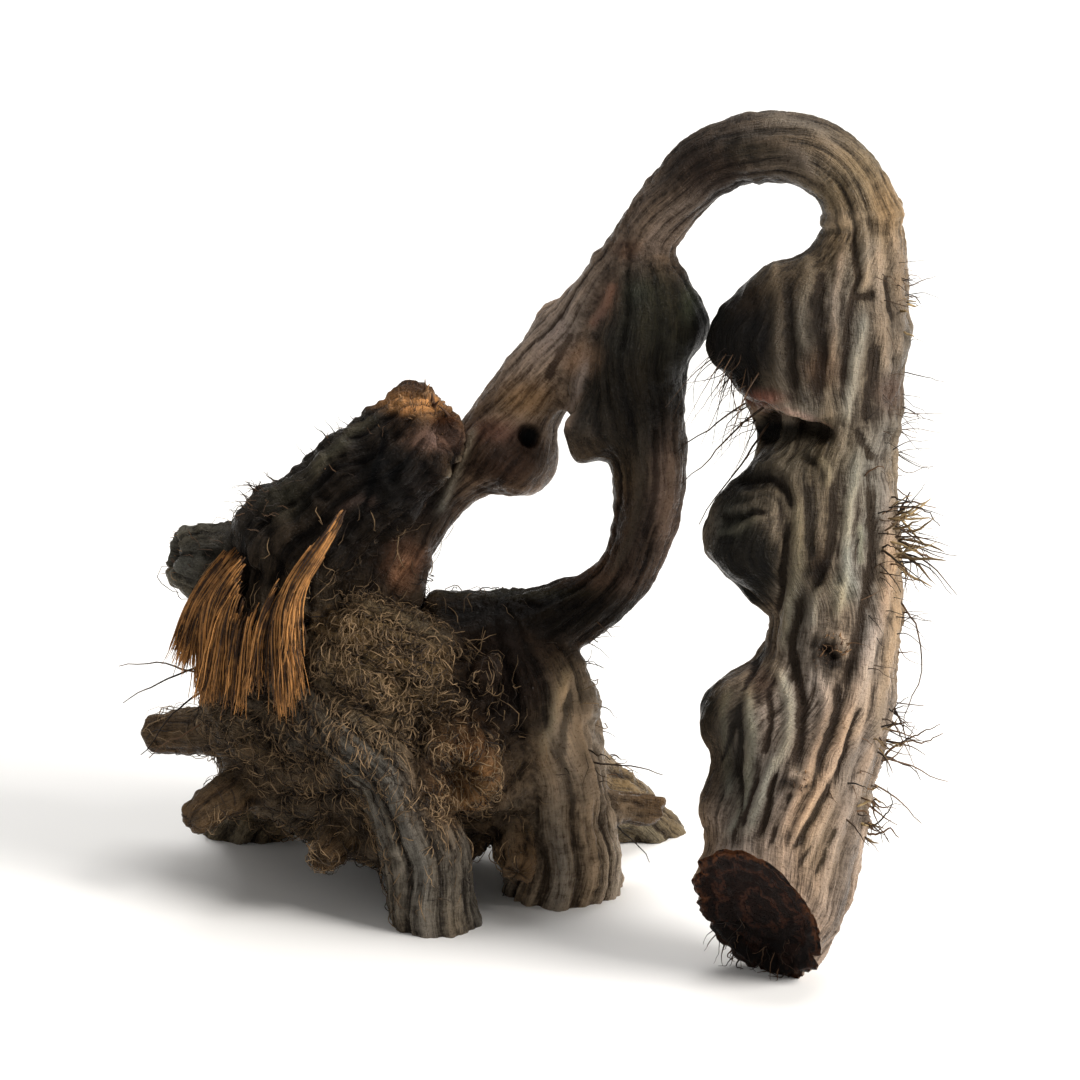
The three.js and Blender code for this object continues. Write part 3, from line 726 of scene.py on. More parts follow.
# Mats of fibre on the crown: centre, scatter, direction, count, length and lift
MAT_POINTS = 6
MAT_RADII = (0.014, 0.05)
MATS = [
    ((-13.0, -4.0, 18.0), 3.2, (-0.3, -0.3, -0.9), 2600, 1.6, 0.6),
    ((-8.0, -6.5, 11.0), 2.4, (0.3, -0.2, -0.9), 900, 1.5, 0.5),
    ((-19.0, -0.5, 14.0), 3.6, (-0.6, -0.3, -0.7), 1400, 1.9, 0.55),
    ((-15.0, -3.0, 6.0), 4.0, (0.0, -0.3, -0.9), 900, 1.9, 0.5),
]
BACK_MATS = [
    ((-14.0, 8.0, 16.0), 4.5, (-0.2, 0.6, -0.7), 1500, 2.8, 0.6),
    ((-20.0, 9.0, 12.0), 4.0, (-0.8, 0.4, -0.5), 1300, 2.8, 0.6),
    ((-6.0, 8.0, 10.0), 4.0, (0.3, 0.7, -0.6), 1200, 2.6, 0.6),
    ((-14.0, 8.0, 4.0), 5.0, (0.0, 0.3, -0.9), 1200, 2.6, 0.5),
]

# Torn wood on the broken ends: centre, scatter, direction, count, length and thickness
SPLINTERS = [
    ((-10.2, 1.6, 36.4), 1.1, (0.2, 0.0, 1.0), 190, 0.7, 0.045),
    ((-10.0, 1.8, 36.8), 0.9, (0.1, 0.0, 1.0), 16, 1.2, 0.2),
    ((-8.6, 2.2, 35.6), 0.7, (0.8, 0.0, 0.7), 60, 0.6, 0.045),
    ((-7.1, -7.0, 10.9), 1.3, (0.0, -1.0, 0.0), 110, 0.7, 0.045),
    ((-27.8, 5.9, 23.6), 1.1, (-0.9, 0.0, 0.4), 60, 0.6, 0.045),
    ((19.2, -14.6, 24.2), 0.45, (0.3, -0.6, 0.8), 16, 0.8, 0.09),
    ((21.8, -14.8, 12.2), 0.5, (0.3, -0.8, 0.5), 12, 0.6, 0.08),
    ((17.0, -18.6, 16.0), 0.4, (0.5, -0.5, 0.6), 9, 0.6, 0.07),
]

# The camera looks at the middle of the root, in metres
TARGET = (-0.0015, -0.002, 0.0275)
CAMERA_DISTANCE = 1.3
FIELD_WIDTH = 0.0773


def linear(code):
    """A hex sRGB colour as linear RGB."""
    values = np.array([int(code[i : i + 2], 16) for i in (0, 2, 4)]) / 255
    return np.where(values <= 0.04045, values / 12.92, ((values + 0.055) / 1.055) ** 2.4)


def smooth(t):
    t = np.clip(t, 0, 1)
    return t * t * (3 - 2 * t)


def unit(vectors):
    return vectors / np.maximum(np.linalg.norm(vectors, axis=-1, keepdims=True), 1e-9)


def value_noise(points, seed=0):
    """Smooth noise from -1 to 1 with features about one unit wide."""
    cell = np.floor(points).astype(np.int64)
    part = points - cell
    part = part * part * (3 - 2 * part)
    total = np.zeros(len(points))
    for corner in range(8):
        offset = np.array([corner & 1, corner >> 1 & 1, corner >> 2 & 1])
        at = cell + offset
        key = at[:, 0] * 374761393 + at[:, 1] * 668265263 + at[:, 2] * 974634777 + seed * 362437
        key = (key ^ (key >> 13)) & 0xFFFFFFFF
        key = (key * 1274126177) & 0xFFFFFFFF
        value = ((key ^ (key >> 16)) & 0xFFFF) / 32767.5 - 1
        total += value * np.prod(np.where(offset, part, 1 - part), axis=1)
    return total


def fractal_noise(points, octaves=3, seed=0):
    return sum(value_noise(points * 2**k, seed + k) * 0.5**k for k in range(octaves))


def knob_height(points, knobs, steepness=2.6):
    """Height of rounded knobs: a steeper one has a flatter top and a shorter slope."""
    height = np.zeros(len(points))
    for x, y, z, tall, wide in knobs:
        away = np.linalg.norm(points - [x, y, z], axis=1) / wide
        height += tall * np.exp(-(away**steepness))
    return height


def unevenness(along, angle, phase):
    return (
        0.5 * np.sin(0.55 * along + 2 * angle + phase)
        + 0.3 * np.sin(1.27 * along - 3 * angle + 2.1 * phase)
        + 0.2 * np.sin(2.3 * along + 5 * angle + 0.7 * phase)
    )


def centripetal(points, t):
    """A centripetal Catmull-Rom curve through the points, at t from 0 to one less than their count."""
    padded = np.vstack([2 * points[0] - points[1], points, 2 * points[-1] - points[-2]])
    span = np.minimum(t.astype(int), len(points) - 2)
    u = (t - span)[:, None]
    p0, p1, p2, p3 = (padded[span + k] for k in range(4))
    d0, d1, d2 = (
        np.sqrt(np.linalg.norm(b - a, axis=1))[:, None]
        for a, b in ((p0, p1), (p1, p2), (p2, p3))
    )
    m1 = ((p1 - p0) / d0 - (p2 - p0) / (d0 + d1) + (p2 - p1) / d1) * d1
    m2 = ((p2 - p1) / d1 - (p3 - p1) / (d1 + d2) + (p3 - p2) / d2) * d1
    cubic = 2 * p1 - 2 * p2 + m1 + m2
    square = -3 * p1 + 3 * p2 - 2 * m1 - m2
    return p1 + m1 * u + square * u**2 + cubic * u**3


def uniform_spline(values, t):
    """A uniform Catmull-Rom spline through the values."""
    padded = np.concatenate([values[:1], values, values[-1:]])
    span = np.minimum(t.astype(int), len(values) - 2)
    u = t - span
    v0, v1, v2, v3 = (padded[span + k] for k in range(4))
    m1, m2 = (v2 - v0) / 2, (v3 - v1) / 2
    return v1 + m1 * u + (3 * v2 - 3 * v1 - 2 * m1 - m2) * u**2 + (2 * v1 - 2 * v2 + m1 + m2) * u**3


class Limb:
    """A limb's centreline in short steps, with its radius and a frame round it at each."""

    def __init__(self, name, stations, ribs, depth, uneven, phase, knobs=(), scars=()):
        self.name, self.ribs, self.depth = name, ribs, depth
        self.uneven, self.phase = uneven, phase
        self.knobs, self.scars = list(knobs), list(scars)
        table = np.array(stations, float)
        t = np.linspace(0, len(table) - 1, 40 * (len(table) - 1) + 1)
        line = centripetal(table[:, :3], t)
        run = np.concatenate([[0], np.cumsum(np.linalg.norm(np.diff(line, axis=0), axis=1))])
        self.station_run = np.interp(np.arange(len(table)), t, run)
        self.along = np.linspace(0, run[-1], max(3, int(run[-1] / STEP)) + 1)
        at = np.interp(self.along, run, t)
        self.centre = centripetal(table[:, :3], at)
        self.radius = uniform_spline(table[:, 3], at)
        self.tangent = unit(np.gradient(self.centre, axis=0))
        side = np.array([0.0, -1.0, 0.0])
        sides = []
        for tangent in self.tangent:
            side = unit(side - tangent * side.dot(tangent))
            sides.append(side)
        self.side = np.array(sides)
        self.across = np.cross(self.tangent, self.side)

    def along_at(self, station):
        """How far along the limb a station is, counted from 0."""
        return np.interp(station, np.arange(len(self.station_run)), self.station_run)

    def wander(self, along):
        return RIB_WANDER * (0.7 * np.sin(0.34 * along) + 0.3 * np.sin(0.91 * along + 1))

    def girth(self, bark, along, angle, radius):
        """The radius with its unevenness and knobs, without ribs."""
        uneven = self.uneven * radius * unevenness(along, angle, self.phase)
        return radius + uneven + knob_height(bark, self.knobs)

    def tube(self):
        """Vertices and faces of the closed tube without ribs."""
        angle = np.arange(TUBE_SIDES) * 2 * math.pi / TUBE_SIDES
        outward = (
            self.side[:, None] * np.cos(angle)[None, :, None]
            + self.across[:, None] * np.sin(angle)[None, :, None]
        )
        rings = len(self.along)
        along = np.repeat(self.along, TUBE_SIDES)
        radius = np.repeat(self.radius, TUBE_SIDES)
        centre = np.repeat(self.centre, TUBE_SIDES, axis=0)
        direction = outward.reshape(-1, 3)
        around = np.tile(angle, rings) - self.wander(along)
        bark = centre + direction * radius[:, None]
        points = centre + direction * self.girth(bark, along, around, radius)[:, None]
        start, end = rings * TUBE_SIDES, rings * TUBE_SIDES + 1
        last = (rings - 1) * TUBE_SIDES
        turn = [(k, (k + 1) % TUBE_SIDES) for k in range(TUBE_SIDES)]
        faces = [
            (low + k, low + j, low + TUBE_SIDES + j, low + TUBE_SIDES + k)
            for low in range(0, last, TUBE_SIDES)
            for k, j in turn
        ]
        for k, j in turn:
            faces.append((start, j, k))
            faces.append((end, last + k, last + j))
        points = np.vstack([points, self.centre[0], self.centre[-1]])
        return points, faces

    def locate(self, points):
        """Where points lie on this limb: along, angle, radius and how far outside its bark."""
        nearest = np.empty(len(points), int)
        for first in range(0, len(points), 20000):
            part = points[first : first + 20000]
            square = (self.centre**2).sum(1) - 2 * part @ self.centre.T
            nearest[first : first + 20000] = square.argmin(1)
        pitch = self.along[1]
        ahead = np.einsum("ij,ij->i", points - self.centre[nearest], self.tangent[nearest])
        ahead = np.clip(ahead, -pitch, pitch)
        toward = np.clip(nearest + np.sign(ahead).astype(int), 0, len(self.along) - 1)
        share = (np.abs(ahead) / pitch)[:, None]
        blend = lambda table: table[nearest] + (table[toward] - table[nearest]) * share
        away = points - blend(self.centre)
        side, across = blend(self.side), blend(self.across)
        along = self.along[nearest] + ahead
        angle = np.arctan2((away * across).sum(1), (away * side).sum(1)) - self.wander(along)
        radius = np.interp(along, self.along, self.radius)
        distance = np.linalg.norm(away, axis=1)
        bark = points + away * (radius / np.maximum(distance, 1e-6) - 1)[:, None]
        gap = distance - self.girth(bark, along, angle, radius)
        return along, angle, radius, gap


def stub_stations(foot, towards, length, radius):
    """Three stations of a stub that narrows towards its end."""
    direction = unit(np.array(towards, float))
    return [
        [*(np.array(foot) + direction * length * t), radius * (1.25 - 0.35 * t)]
        for t in (0, 0.6, 1)
    ]


# Each limb's name, stations, number of ribs, their depth, unevenness, phase, knobs and scars
LIMBS = [
    Limb("cane", CANE, 14, 0.42, 0.05, 0.4, CANE_KNOBS, BUD_SCARS),
    Limb("loop_branch", LOOP_BRANCH, 8, 0.16, 0.04, 1.3, LOOP_KNOBS),
    Limb("stump", STUMP, 11, 0.22, 0.07, 2.2, STUMP_KNOBS),
    Limb("stump_web", STUMP_WEB, 8, 0.18, 0.06, 1.7),
    Limb("arch_web", ARCH_WEB, 6, 0.12, 0.06, 2.9),
    Limb("swelling", SWELLING, 9, 0.24, 0.08, 0.5),
    Limb("crown", CROWN, 14, 0.24, 0.07, 3.1, CROWN_KNOBS),
    Limb("column", COLUMN, 10, 0.28, 0.05, 0.9),
    Limb("side_stub", SIDE_STUB, 8, 0.16, 0.06, 1.9),
    Limb("front_root", FRONT_ROOT, 8, 0.22, 0.05, 2.7),
    Limb("back_left_root", BACK_LEFT_ROOT, 8, 0.2, 0.06, 0.2),
    Limb("back_right_root", BACK_RIGHT_ROOT, 8, 0.18, 0.06, 1.1),
    Limb("scar_stub", SCAR_STUB, 8, 0.12, 0.04, 0.6),
    *(
        Limb("broken_stub", stub_stations(*stub), 4, 0.1, 0.08, stub[0][0])
        for stub in BROKEN_STUBS
    ),
]


def mesh_object(name, points, faces):
    """A smooth mesh object from points in millimetres."""
    mesh = bpy.data.meshes.new(name)
    mesh.from_pydata((np.asarray(points) * MM).tolist(), [], faces)
    mesh.update()
    mesh.polygons.foreach_set("use_smooth", [True] * len(mesh.polygons))
    piece = bpy.data.objects.new(name, mesh)
    bpy.context.scene.collection.objects.link(piece)
    return piece


def read_rows(items, field, width, kind=float):
    """A field of a mesh's items, one row for each item."""
    rows = np.empty(len(items) * width, kind)
    items.foreach_get(field, rows)
    return rows.reshape(-1, width)


def points_of(mesh):
    return read_rows(mesh.vertices, "co", 3) / MM


def normals_of(mesh):
    return read_rows(mesh.vertices, "normal", 3)


def edges_of(mesh):
    return read_rows(mesh.edges, "vertices", 2, int)


def write_points(mesh, points):
    mesh.vertices.foreach_set("co", (points * MM).ravel())
    mesh.update()


def relaxed(points, edges, rounds, share=0.5):
    """The points after rounds of moving each towards the mean of its neighbours."""
    count = np.bincount(edges.ravel(), minlength=len(points))[:, None]
    share = np.broadcast_to(np.reshape(share, (-1, 1)), (len(points), 1))
    for _ in range(rounds):
        total = np.zeros_like(points)
        for axis in range(3):
            a = np.bincount(edges[:, 0], points[edges[:, 1], axis], len(points))
            b = np.bincount(edges[:, 1], points[edges[:, 0], axis], len(points))
            total[:, axis] = a + b
        points = points + share * (total / np.maximum(count, 1) - points)
    return points


def joined_limbs():
    """One smooth skin round all the limbs, without ribs."""
    points, faces = [], []
    count = 0
    for limb in LIMBS:
        some, their = limb.tube()
        points.append(some)
        faces.extend(tuple(i + count for i in face) for face in their)
        count += len(some)
    piece = mesh_object("rhizome_skin", np.vstack(points), faces)
    remesh = piece.modifiers.new("join", "REMESH")
    remesh.mode = "VOXEL"
    remesh.voxel_size = VOXEL * MM
    remesh.use_smooth_shade = True
    evaluated = piece.evaluated_get(bpy.context.evaluated_depsgraph_get())
    mesh = bpy.data.meshes.new_from_object(evaluated)
    piece.modifiers.clear()
    piece.data = mesh
    return piece


class Place:
    """Where points lie on the limbs, with soft shares between limbs where they join."""

    def __init__(self, points):
        found = [limb.locate(points) for limb in LIMBS]
        self.along, self.angle, self.radius, gap = (np.array(part) for part in zip(*found))
        share = np.exp(-np.maximum(gap, 0) / RELIEF_REACH)
        self.share = share / share.sum(0)
        tint = np.exp(-np.maximum(gap, 0) / COLOUR_REACH)
        self.tint = tint / tint.sum(0)
        ordered = np.sort(gap, axis=0)
        self.crotch = np.exp(-(((ordered[1] - ordered[0]) / JOINT_REACH) ** 2))
        self.main = gap.argmin(0)

    def grain(self):
        """A vector that turns with the angle and runs slowly along the limb."""
        at = (self.main, np.arange(len(self.main)))
        along, angle, radius = self.along[at], self.angle[at], self.radius[at]
        angle = angle - np.where(self.main == 0, LEG_LEAN * np.minimum(along, LEG_LEAN_END), 0)
        return np.stack([np.cos(angle) * radius, np.sin(angle) * radius, along], 1)


def ridges(phase):
    """Rounded ridges with narrow grooves between them, from -1 in a groove to 1 on a crest."""
    return 2 * smooth(np.abs(np.cos(phase / 2)) / 0.92) - 1


def bent_angle(limb, along, angle, radius):
    """The angle with the ribs spread round the limb's knobs and bud scars."""
    bent = angle.copy()
    for x, y, z, tall, wide in limb.knobs + limb.scars:
        if tall < KNOB_LEAST:
            continue
        their_along, their_angle, _, _ = (v[0] for v in limb.locate(np.array([[x, y, z]])))
        turn = (angle - their_angle + math.pi) % (2 * math.pi) - math.pi
        reach = KNOB_REACH * wide
        away = (turn * radius) ** 2 + (along - their_along) ** 2
        bent -= KNOB_BEND * np.sin(turn) * (1 + np.cos(turn)) / 2 * reach**2 / (away + reach**2)
    return bent


def limb_relief(limb, along, angle, radius):
    """Extra height of the bark's ribs and wrinkles, and the ribs' profile from -1 to 1."""
    bent = bent_angle(limb, along, angle, radius)
    lateral = np.column_stack([np.cos(angle) * radius, np.sin(angle) * radius])
    slow = np.column_stack([lateral * 0.3, along * 0.075 + limb.phase])
    quick = np.column_stack([lateral * 0.75, along * 0.16 + limb.phase])
    sway = SLOW_SWAY * value_noise(slow, 11) + QUICK_SWAY * value_noise(quick, 12)
    main = ridges(limb.ribs * bent + sway)
    second = round(SECOND_RIBS * limb.ribs)
    other = ridges(second * bent + 1.7 * sway + 1.6 * value_noise(slow * 1.7, 17))
    profile = np.minimum(main, 0.5 + 0.5 * other)
    fine = ridges(FINE_RIBS * limb.ribs * bent + FINE_RIBS * sway + 2 * value_noise(quick, 19))
    stretched = np.column_stack([lateral * 1.5, along * 0.3])
    checked = np.column_stack([lateral * 0.7, along * 1.7])
    depth = np.full(len(along), limb.depth)
    # The cane's ribs fade from the leg, over the arch, to the thin branch
    if limb.name == "cane":
        depth = limb.depth * (0.35 + 0.65 * smooth((62 - along) / 20)) * radius / 4.5
    depth = depth * (0.85 + 0.4 * value_noise(slow * 1.3, 5))
    height = depth * (MAIN_HEIGHT * profile + FINE_HEIGHT * fine)
    height += 0.1 * fractal_noise(stretched, 3, 23) + 0.06 * value_noise(checked, 29)
    return height, profile


def relief(points, normals, place):
    """The height of all the bark's relief, and the profiles of its ribs and of its folds."""
    facing = towards_camera(normals)
    leg = facing * place.share[0] * smooth((LIMBS[0].along_at(13) - place.along[0]) / 2)
    height = np.zeros(len(points))
    profile = np.zeros(len(points))
    roughness = np.zeros(len(points))
    for i, limb in enumerate(LIMBS):
        use = place.share[i] > 0.01
        if not use.any():
            continue
        some, ribs = limb_relief(limb, place.along[i][use], place.angle[i][use], place.radius[i][use])
        height[use] += place.share[i][use] * some
        profile[use] += place.share[i][use] * ribs
        roughness += place.share[i] * ROUGHNESS.get(limb.name, 0.08)
    height *= 1 - LEG_RIB_FADE * leg
    profile *= 1 - LEG_RIB_FADE * leg
    height += roughness * fractal_noise(points * 0.5, 4, 61)
    height += 0.35 * roughness * (1 - 2 * np.abs(value_noise(points * 1.1, 67)))
    height += 0.05 * value_noise(points * 2.1, 73)
    traced, fold = folds(points, facing)
    height += traced
    height += rings_and_ledge(place)
    height += scars(points) + knob_height(points, SWELLS, SWELL_STEEPNESS)
    return height, profile, fold


def in_picture(points):
    """The pixels of the picture at which points show, gently jostled so that no line is too even."""
    x, y, z = points.T
    up = math.cos(VIEW_TILT) * z + math.sin(VIEW_TILT) * (y - PHOTO_ORIGIN_DEPTH)
    pixels = np.stack([PHOTO_ORIGIN[0] + PHOTO_SCALE * x, PHOTO_ORIGIN[1] - PHOTO_SCALE * up], 1)
    jostle = [
        value_noise(points * 1.3, seed) + value_noise(points * 0.5, seed + 9) for seed in (101, 102)
    ]
    return pixels + PICTURE_JOSTLE * np.stack(jostle, 1)


def towards_camera(normals):
    """How far each surface faces the camera: 0 at the outline and behind, and 1 in front."""
    return smooth(normals @ TO_CAMERA / FACING_SOFTNESS)


def near_line(pixels, line, width):
    """Which pixels lie near a line, and their weights: 1 on it, less at its ends, none far off."""
    line = np.array(line, float)
    reach = 2.4 * width
    near = np.flatnonzero(
        (pixels > line.min(0) - reach).all(1) & (pixels < line.max(0) + reach).all(1)
    )
    curve = centripetal(line, np.linspace(0, len(line) - 1, 30 * (len(line) - 1) + 1))
    best, run = np.full(len(near), np.inf), np.zeros(len(near))
    for k, point in enumerate(curve):
        square = ((pixels[near] - point) ** 2).sum(1)
        closer = square < best
        best[closer] = square[closer]
        run[closer] = k / (len(curve) - 1)
    ends = smooth(run / 0.14) * smooth((1 - run) / 0.14)
    return near, np.exp(-best / width**2) * (0.15 + 0.85 * ends)


def folds(points, facing):
    """Height and profile, from -1 to 1, of the traced crests and grooves."""
    pixels = in_picture(points)
    height, profile = np.zeros(len(points)), np.zeros(len(points))
    for tall, width, _, line in CRESTS:
        near, weight = near_line(pixels, line, width)
        height[near] += tall * weight
        profile[near] += weight
    for deep, width, line in GROOVES:
        near, weight = near_line(pixels, line, width)
        height[near] -= deep * weight
        profile[near] -= 1.3 * weight
    x, y, wide, high = CRUMBS
    crumbs = np.exp(-(((pixels[:, 0] - x) / wide) ** 4) - ((pixels[:, 1] - y) / high) ** 4)
    height += 0.16 * crumbs * fractal_noise(points * 1.6, 2, 57)
    return height * facing, np.clip(profile, -1.3, 1) * facing


def rings_and_ledge(place):
    """The node rings round the cane, and the sharp ledge under its top knob."""
    cane = LIMBS[0]
    along, angle, share = place.along[0], place.angle[0], place.share[0]
    height = np.zeros(len(along))
    wobble = 0.25 * np.sin(3 * angle) + 0.12 * np.sin(7 * angle + 1)
    for station, tall, wide in NODE_RINGS:
        away = (along + wobble - cane.along_at(station)) / wide
        height += tall * np.exp(-(away**2)) - 0.8 * tall * np.exp(-((away + 2) ** 2))
    for x, y, z, width in LEDGES:
        at, turn, _, _ = (v[0] for v in cane.locate(np.array([[x, y, z]])))
        sideways = ((angle - turn + math.pi) % (2 * math.pi) - math.pi) * LEG_RADIUS
        away = along - at + 0.3 * np.sin(sideways) - 0.04 * sideways**2
        window = np.exp(-((sideways / width) ** 4))
        lip, recess = (
            tall * np.exp(-(((away - middle) / wide) ** 2))
            for tall, middle, wide in (LEDGE_LIP, LEDGE_RECESS)
        )
        height += window * (lip - recess)
    return height * share


def scars(points):
    """Bud scars and hollows: pits with a raised rim."""
    height = np.zeros(len(points))
    for x, y, z, tall, wide in BUD_SCARS:
        away = np.linalg.norm(points - [x, y, z], axis=1) / wide
        away = away + 0.3 * value_noise(points * 1.9, 77)
        rim = 0.3 * tall * np.exp(-(((away - 0.62) / 0.24) ** 2))
        height += rim - 0.6 * tall * np.exp(-((away / 0.4) ** 2))
    for x, y, z, radius, depth in PITS:
        away = np.linalg.norm(points - [x, y, z], axis=1) / radius
        height -= depth * np.exp(-(away**3))
        height += 0.3 * depth * np.exp(-(((away - 1.15) / 0.25) ** 2))
    return height


def set_layer(mesh, name, values, kind, field):
    """Write a layer of values, one for each vertex."""
    layer = mesh.attributes.get(name) or mesh.attributes.new(name, kind, "POINT")
    layer.data.foreach_set(field, np.asarray(values, float).ravel())


def set_floats(mesh, name, values):
    set_layer(mesh, name, values, "FLOAT", "value")


def set_colours(mesh, name, colours):
    set_layer(mesh, name, np.column_stack([colours, np.ones(len(colours))]), "FLOAT_COLOR", "color")


def set_vectors(mesh, name, values):
    set_layer(mesh, name, values, "FLOAT_VECTOR", "vector")


def ordered_loop(edges):
    """The vertices of one closed loop of edges, in order from the first edge."""
    loop = [edges[0].verts[0], edges[0].verts[1]]
    left = set(edges[1:])
    while left:
        onward = next((e for e in loop[-1].link_edges if e in left), None)
        if onward is None:
            break
        left.remove(onward)
        loop.append(onward.other_vert(loop[-1]))
    return loop[:-1]


def cut_leg(work):
    """Cut the leg's end off along the chopped face and close it with a rough one."""
    verts = [v for v in work.verts if v.co.x > CUT_ROOM[0] * MM and v.co.y < CUT_ROOM[1] * MM]
    near = set(verts)
    edges = [e for e in work.edges if e.verts[0] in near and e.verts[1] in near]
    faces = [f for f in work.faces if all(v in near for v in f.verts)]
    cut = bmesh.ops.bisect_plane(
        work,
        geom=[*verts, *edges, *faces],
        plane_co=CUT_POINT * MM,
        plane_no=CUT_NORMAL,
        clear_outer=True,
    )
    rim = ordered_loop([e for e in cut["geom_cut"] if isinstance(e, bmesh.types.BMEdge)])
    outline = np.array([v.co[:] for v in rim]) / MM
    middle = outline.mean(0)
    cut_layer = work.verts.layers.float["cut"]
    for v in rim:
        v[cut_layer] = 0.5
    outer = rim
    swirl_height, pitch = CUT_SWIRL
    raised, raised_at, width = CUT_RAISED
    for k in range(1, CUT_RINGS):
        share = 1 - k / CUT_RINGS
        ring = middle + (outline - middle) * share
        swirl = np.linalg.norm(ring - middle - CUT_SWIRL_MIDDLE, axis=1)
        height = CUT_ROUGHNESS * fractal_noise(ring * 0.75, 3, 41)
        height = height + swirl_height * np.sin(pitch * swirl)
        height -= CUT_DISH * (1 - share**2) - raised * np.exp(-(((share - raised_at) / width) ** 2))
        ring = ring + CUT_NORMAL * (height * smooth(k / 2))[:, None]
        inner = [work.verts.new(point) for point in ring * MM]
        for v in inner:
            v[cut_layer] = 1.5 - share
        join_loops(work, outer, inner)
        outer = inner
    # The last ring is small enough to be one face
    work.faces.new(outer).smooth = True


def join_loops(work, outer, inner):
    for k in range(len(outer)):
        j = (k + 1) % len(outer)
        face = work.faces.new((outer[k], outer[j], inner[j], inner[k]))
        face.smooth = True


def cut_ground(work):
    """Cut every foot off level with the ground and close it."""
    cut = bmesh.ops.bisect_plane(
        work,
        geom=[*work.verts, *work.edges, *work.faces],
        plane_co=(0, 0, 0),
        plane_no=(0, 0, -1),
        clear_outer=True,
    )
    rims = [e for e in cut["geom_cut"] if isinstance(e, bmesh.types.BMEdge)]
    bmesh.ops.holes_fill(work, edges=rims, sides=0)


def hollowness(points, edges, normals, rounds):
    """How far the mean surface round each point lies above it, in millimetres."""
    return ((relaxed(points, edges, rounds) - points) * normals).sum(1)


def bark_colours(points, normals, place):
    """The colours of crests and grooves at each point, as linear RGB, with painted shade from some
    spots, patches and crests.
    """
    crests, grooves = np.zeros((len(points), 3)), np.zeros((len(points), 3))
    for i, limb in enumerate(LIMBS):
        stations, light, dark = zip(*TINTS[limb.name])
        light, dark = np.array([linear(c) for c in light]), np.array([linear(c) for c in dark])
        knots = limb.along_at(np.array(stations))
        share = place.tint[i][:, None]
        for channels, colours in ((light, crests), (dark, grooves)):
            run = [np.interp(place.along[i], knots, channels[:, c]) for c in range(3)]
            colours += share * np.stack(run, 1)
    for centre, radius, code, strength in SPOTS:
        away = np.linalg.norm(points - centre, axis=1) / radius
        away += 0.35 * value_noise(points * 1.1, 71)
        share = (strength * np.exp(-(np.maximum(away, 0) ** 4)))[:, None]
        crests += share * (linear(code) - crests)
        grooves += share * (linear(code) * SPOT_GROOVES - grooves)
    pixels, facing = in_picture(points), towards_camera(normals)
    # Some patches are painted shade: on the knobs' left sides, under the ledge, in pits and round the
    # crown
    for x, y, wide, high, code, strength, edge in PATCHES:
        away = np.linalg.norm((pixels - [x, y]) / [wide, high], axis=1)
        share = (facing * strength * np.exp(-(away**edge)))[:, None]
        crests += share * (linear(code) - crests)
        grooves += share * (linear(code) * PATCH_GROOVES - grooves)
    # Crest colours, some of them painted shade on the knobs
    for _, width, code, line in CRESTS:
        near, weight = near_line(pixels, line, 1.3 * width)
        cover = (CREST_COVER * facing[near] * weight)[:, None]
        crests[near] += cover * (linear(code) - crests[near])
    grain = place.grain()
    tint = fractal_noise(points * 0.22, 3, 83)[:, None]
    streak = fractal_noise(grain * [0.75, 0.75, 0.09], 2, 87)[:, None]
    warmth = fractal_noise(grain * [0.45, 0.45, 0.11], 3, 91)[:, None]
    crests *= (1 + 0.2 * tint + 0.3 * streak) * (1 + warmth * np.array([0.1, 0.0, -0.14]))
    grooves *= 1 + 0.3 * streak
    return np.clip(crests, 0.002, 1), np.clip(grooves, 0.002, 1)


def bark_skin():
    """The whole woody root in one skin, with its ribs, scars and chopped end."""
    piece = joined_limbs()
    mesh = piece.data
    points = points_of(mesh)
    edges = edges_of(mesh)
    place = Place(points)
    points = relaxed(points, edges, SKIN_ROUNDS)
    points = relaxed(points, edges, JOINT_ROUNDS, JOINT_SHARE * place.crotch)
    write_points(mesh, points)
    place = Place(points)
    height, profile, fold = relief(points, normals_of(mesh), place)
    write_points(mesh, points + normals_of(mesh) * height[:, None])
    set_floats(mesh, "ridge", profile)
    set_floats(mesh, "fold", fold)
    set_floats(mesh, "cut", np.zeros(len(points)))
    set_vectors(mesh, "grain", place.grain())
    work = bmesh.new()
    work.from_mesh(mesh)
    cut_leg(work)
    cut_ground(work)
    bmesh.ops.recalc_face_normals(work, faces=work.faces)
    work.to_mesh(mesh)
    work.free()
    points, edges, normals = points_of(mesh), edges_of(mesh), normals_of(mesh)
    place = Place(points)
    crests, grooves = bark_colours(points, normals, place)
    set_floats(mesh, "seam", place.crotch)
    set_colours(mesh, "crests", crests)
    set_colours(mesh, "grooves", grooves)
    # The bark is darkened in these hollows as painted shade
    hollow = hollowness(points, edges, normals, HOLLOW_ROUNDS)
    set_floats(mesh, "hollow", hollow * (1 - 0.8 * place.crotch))
    set_floats(mesh, "deep", hollowness(points, edges, normals, DEEP_ROUNDS))
    return piece


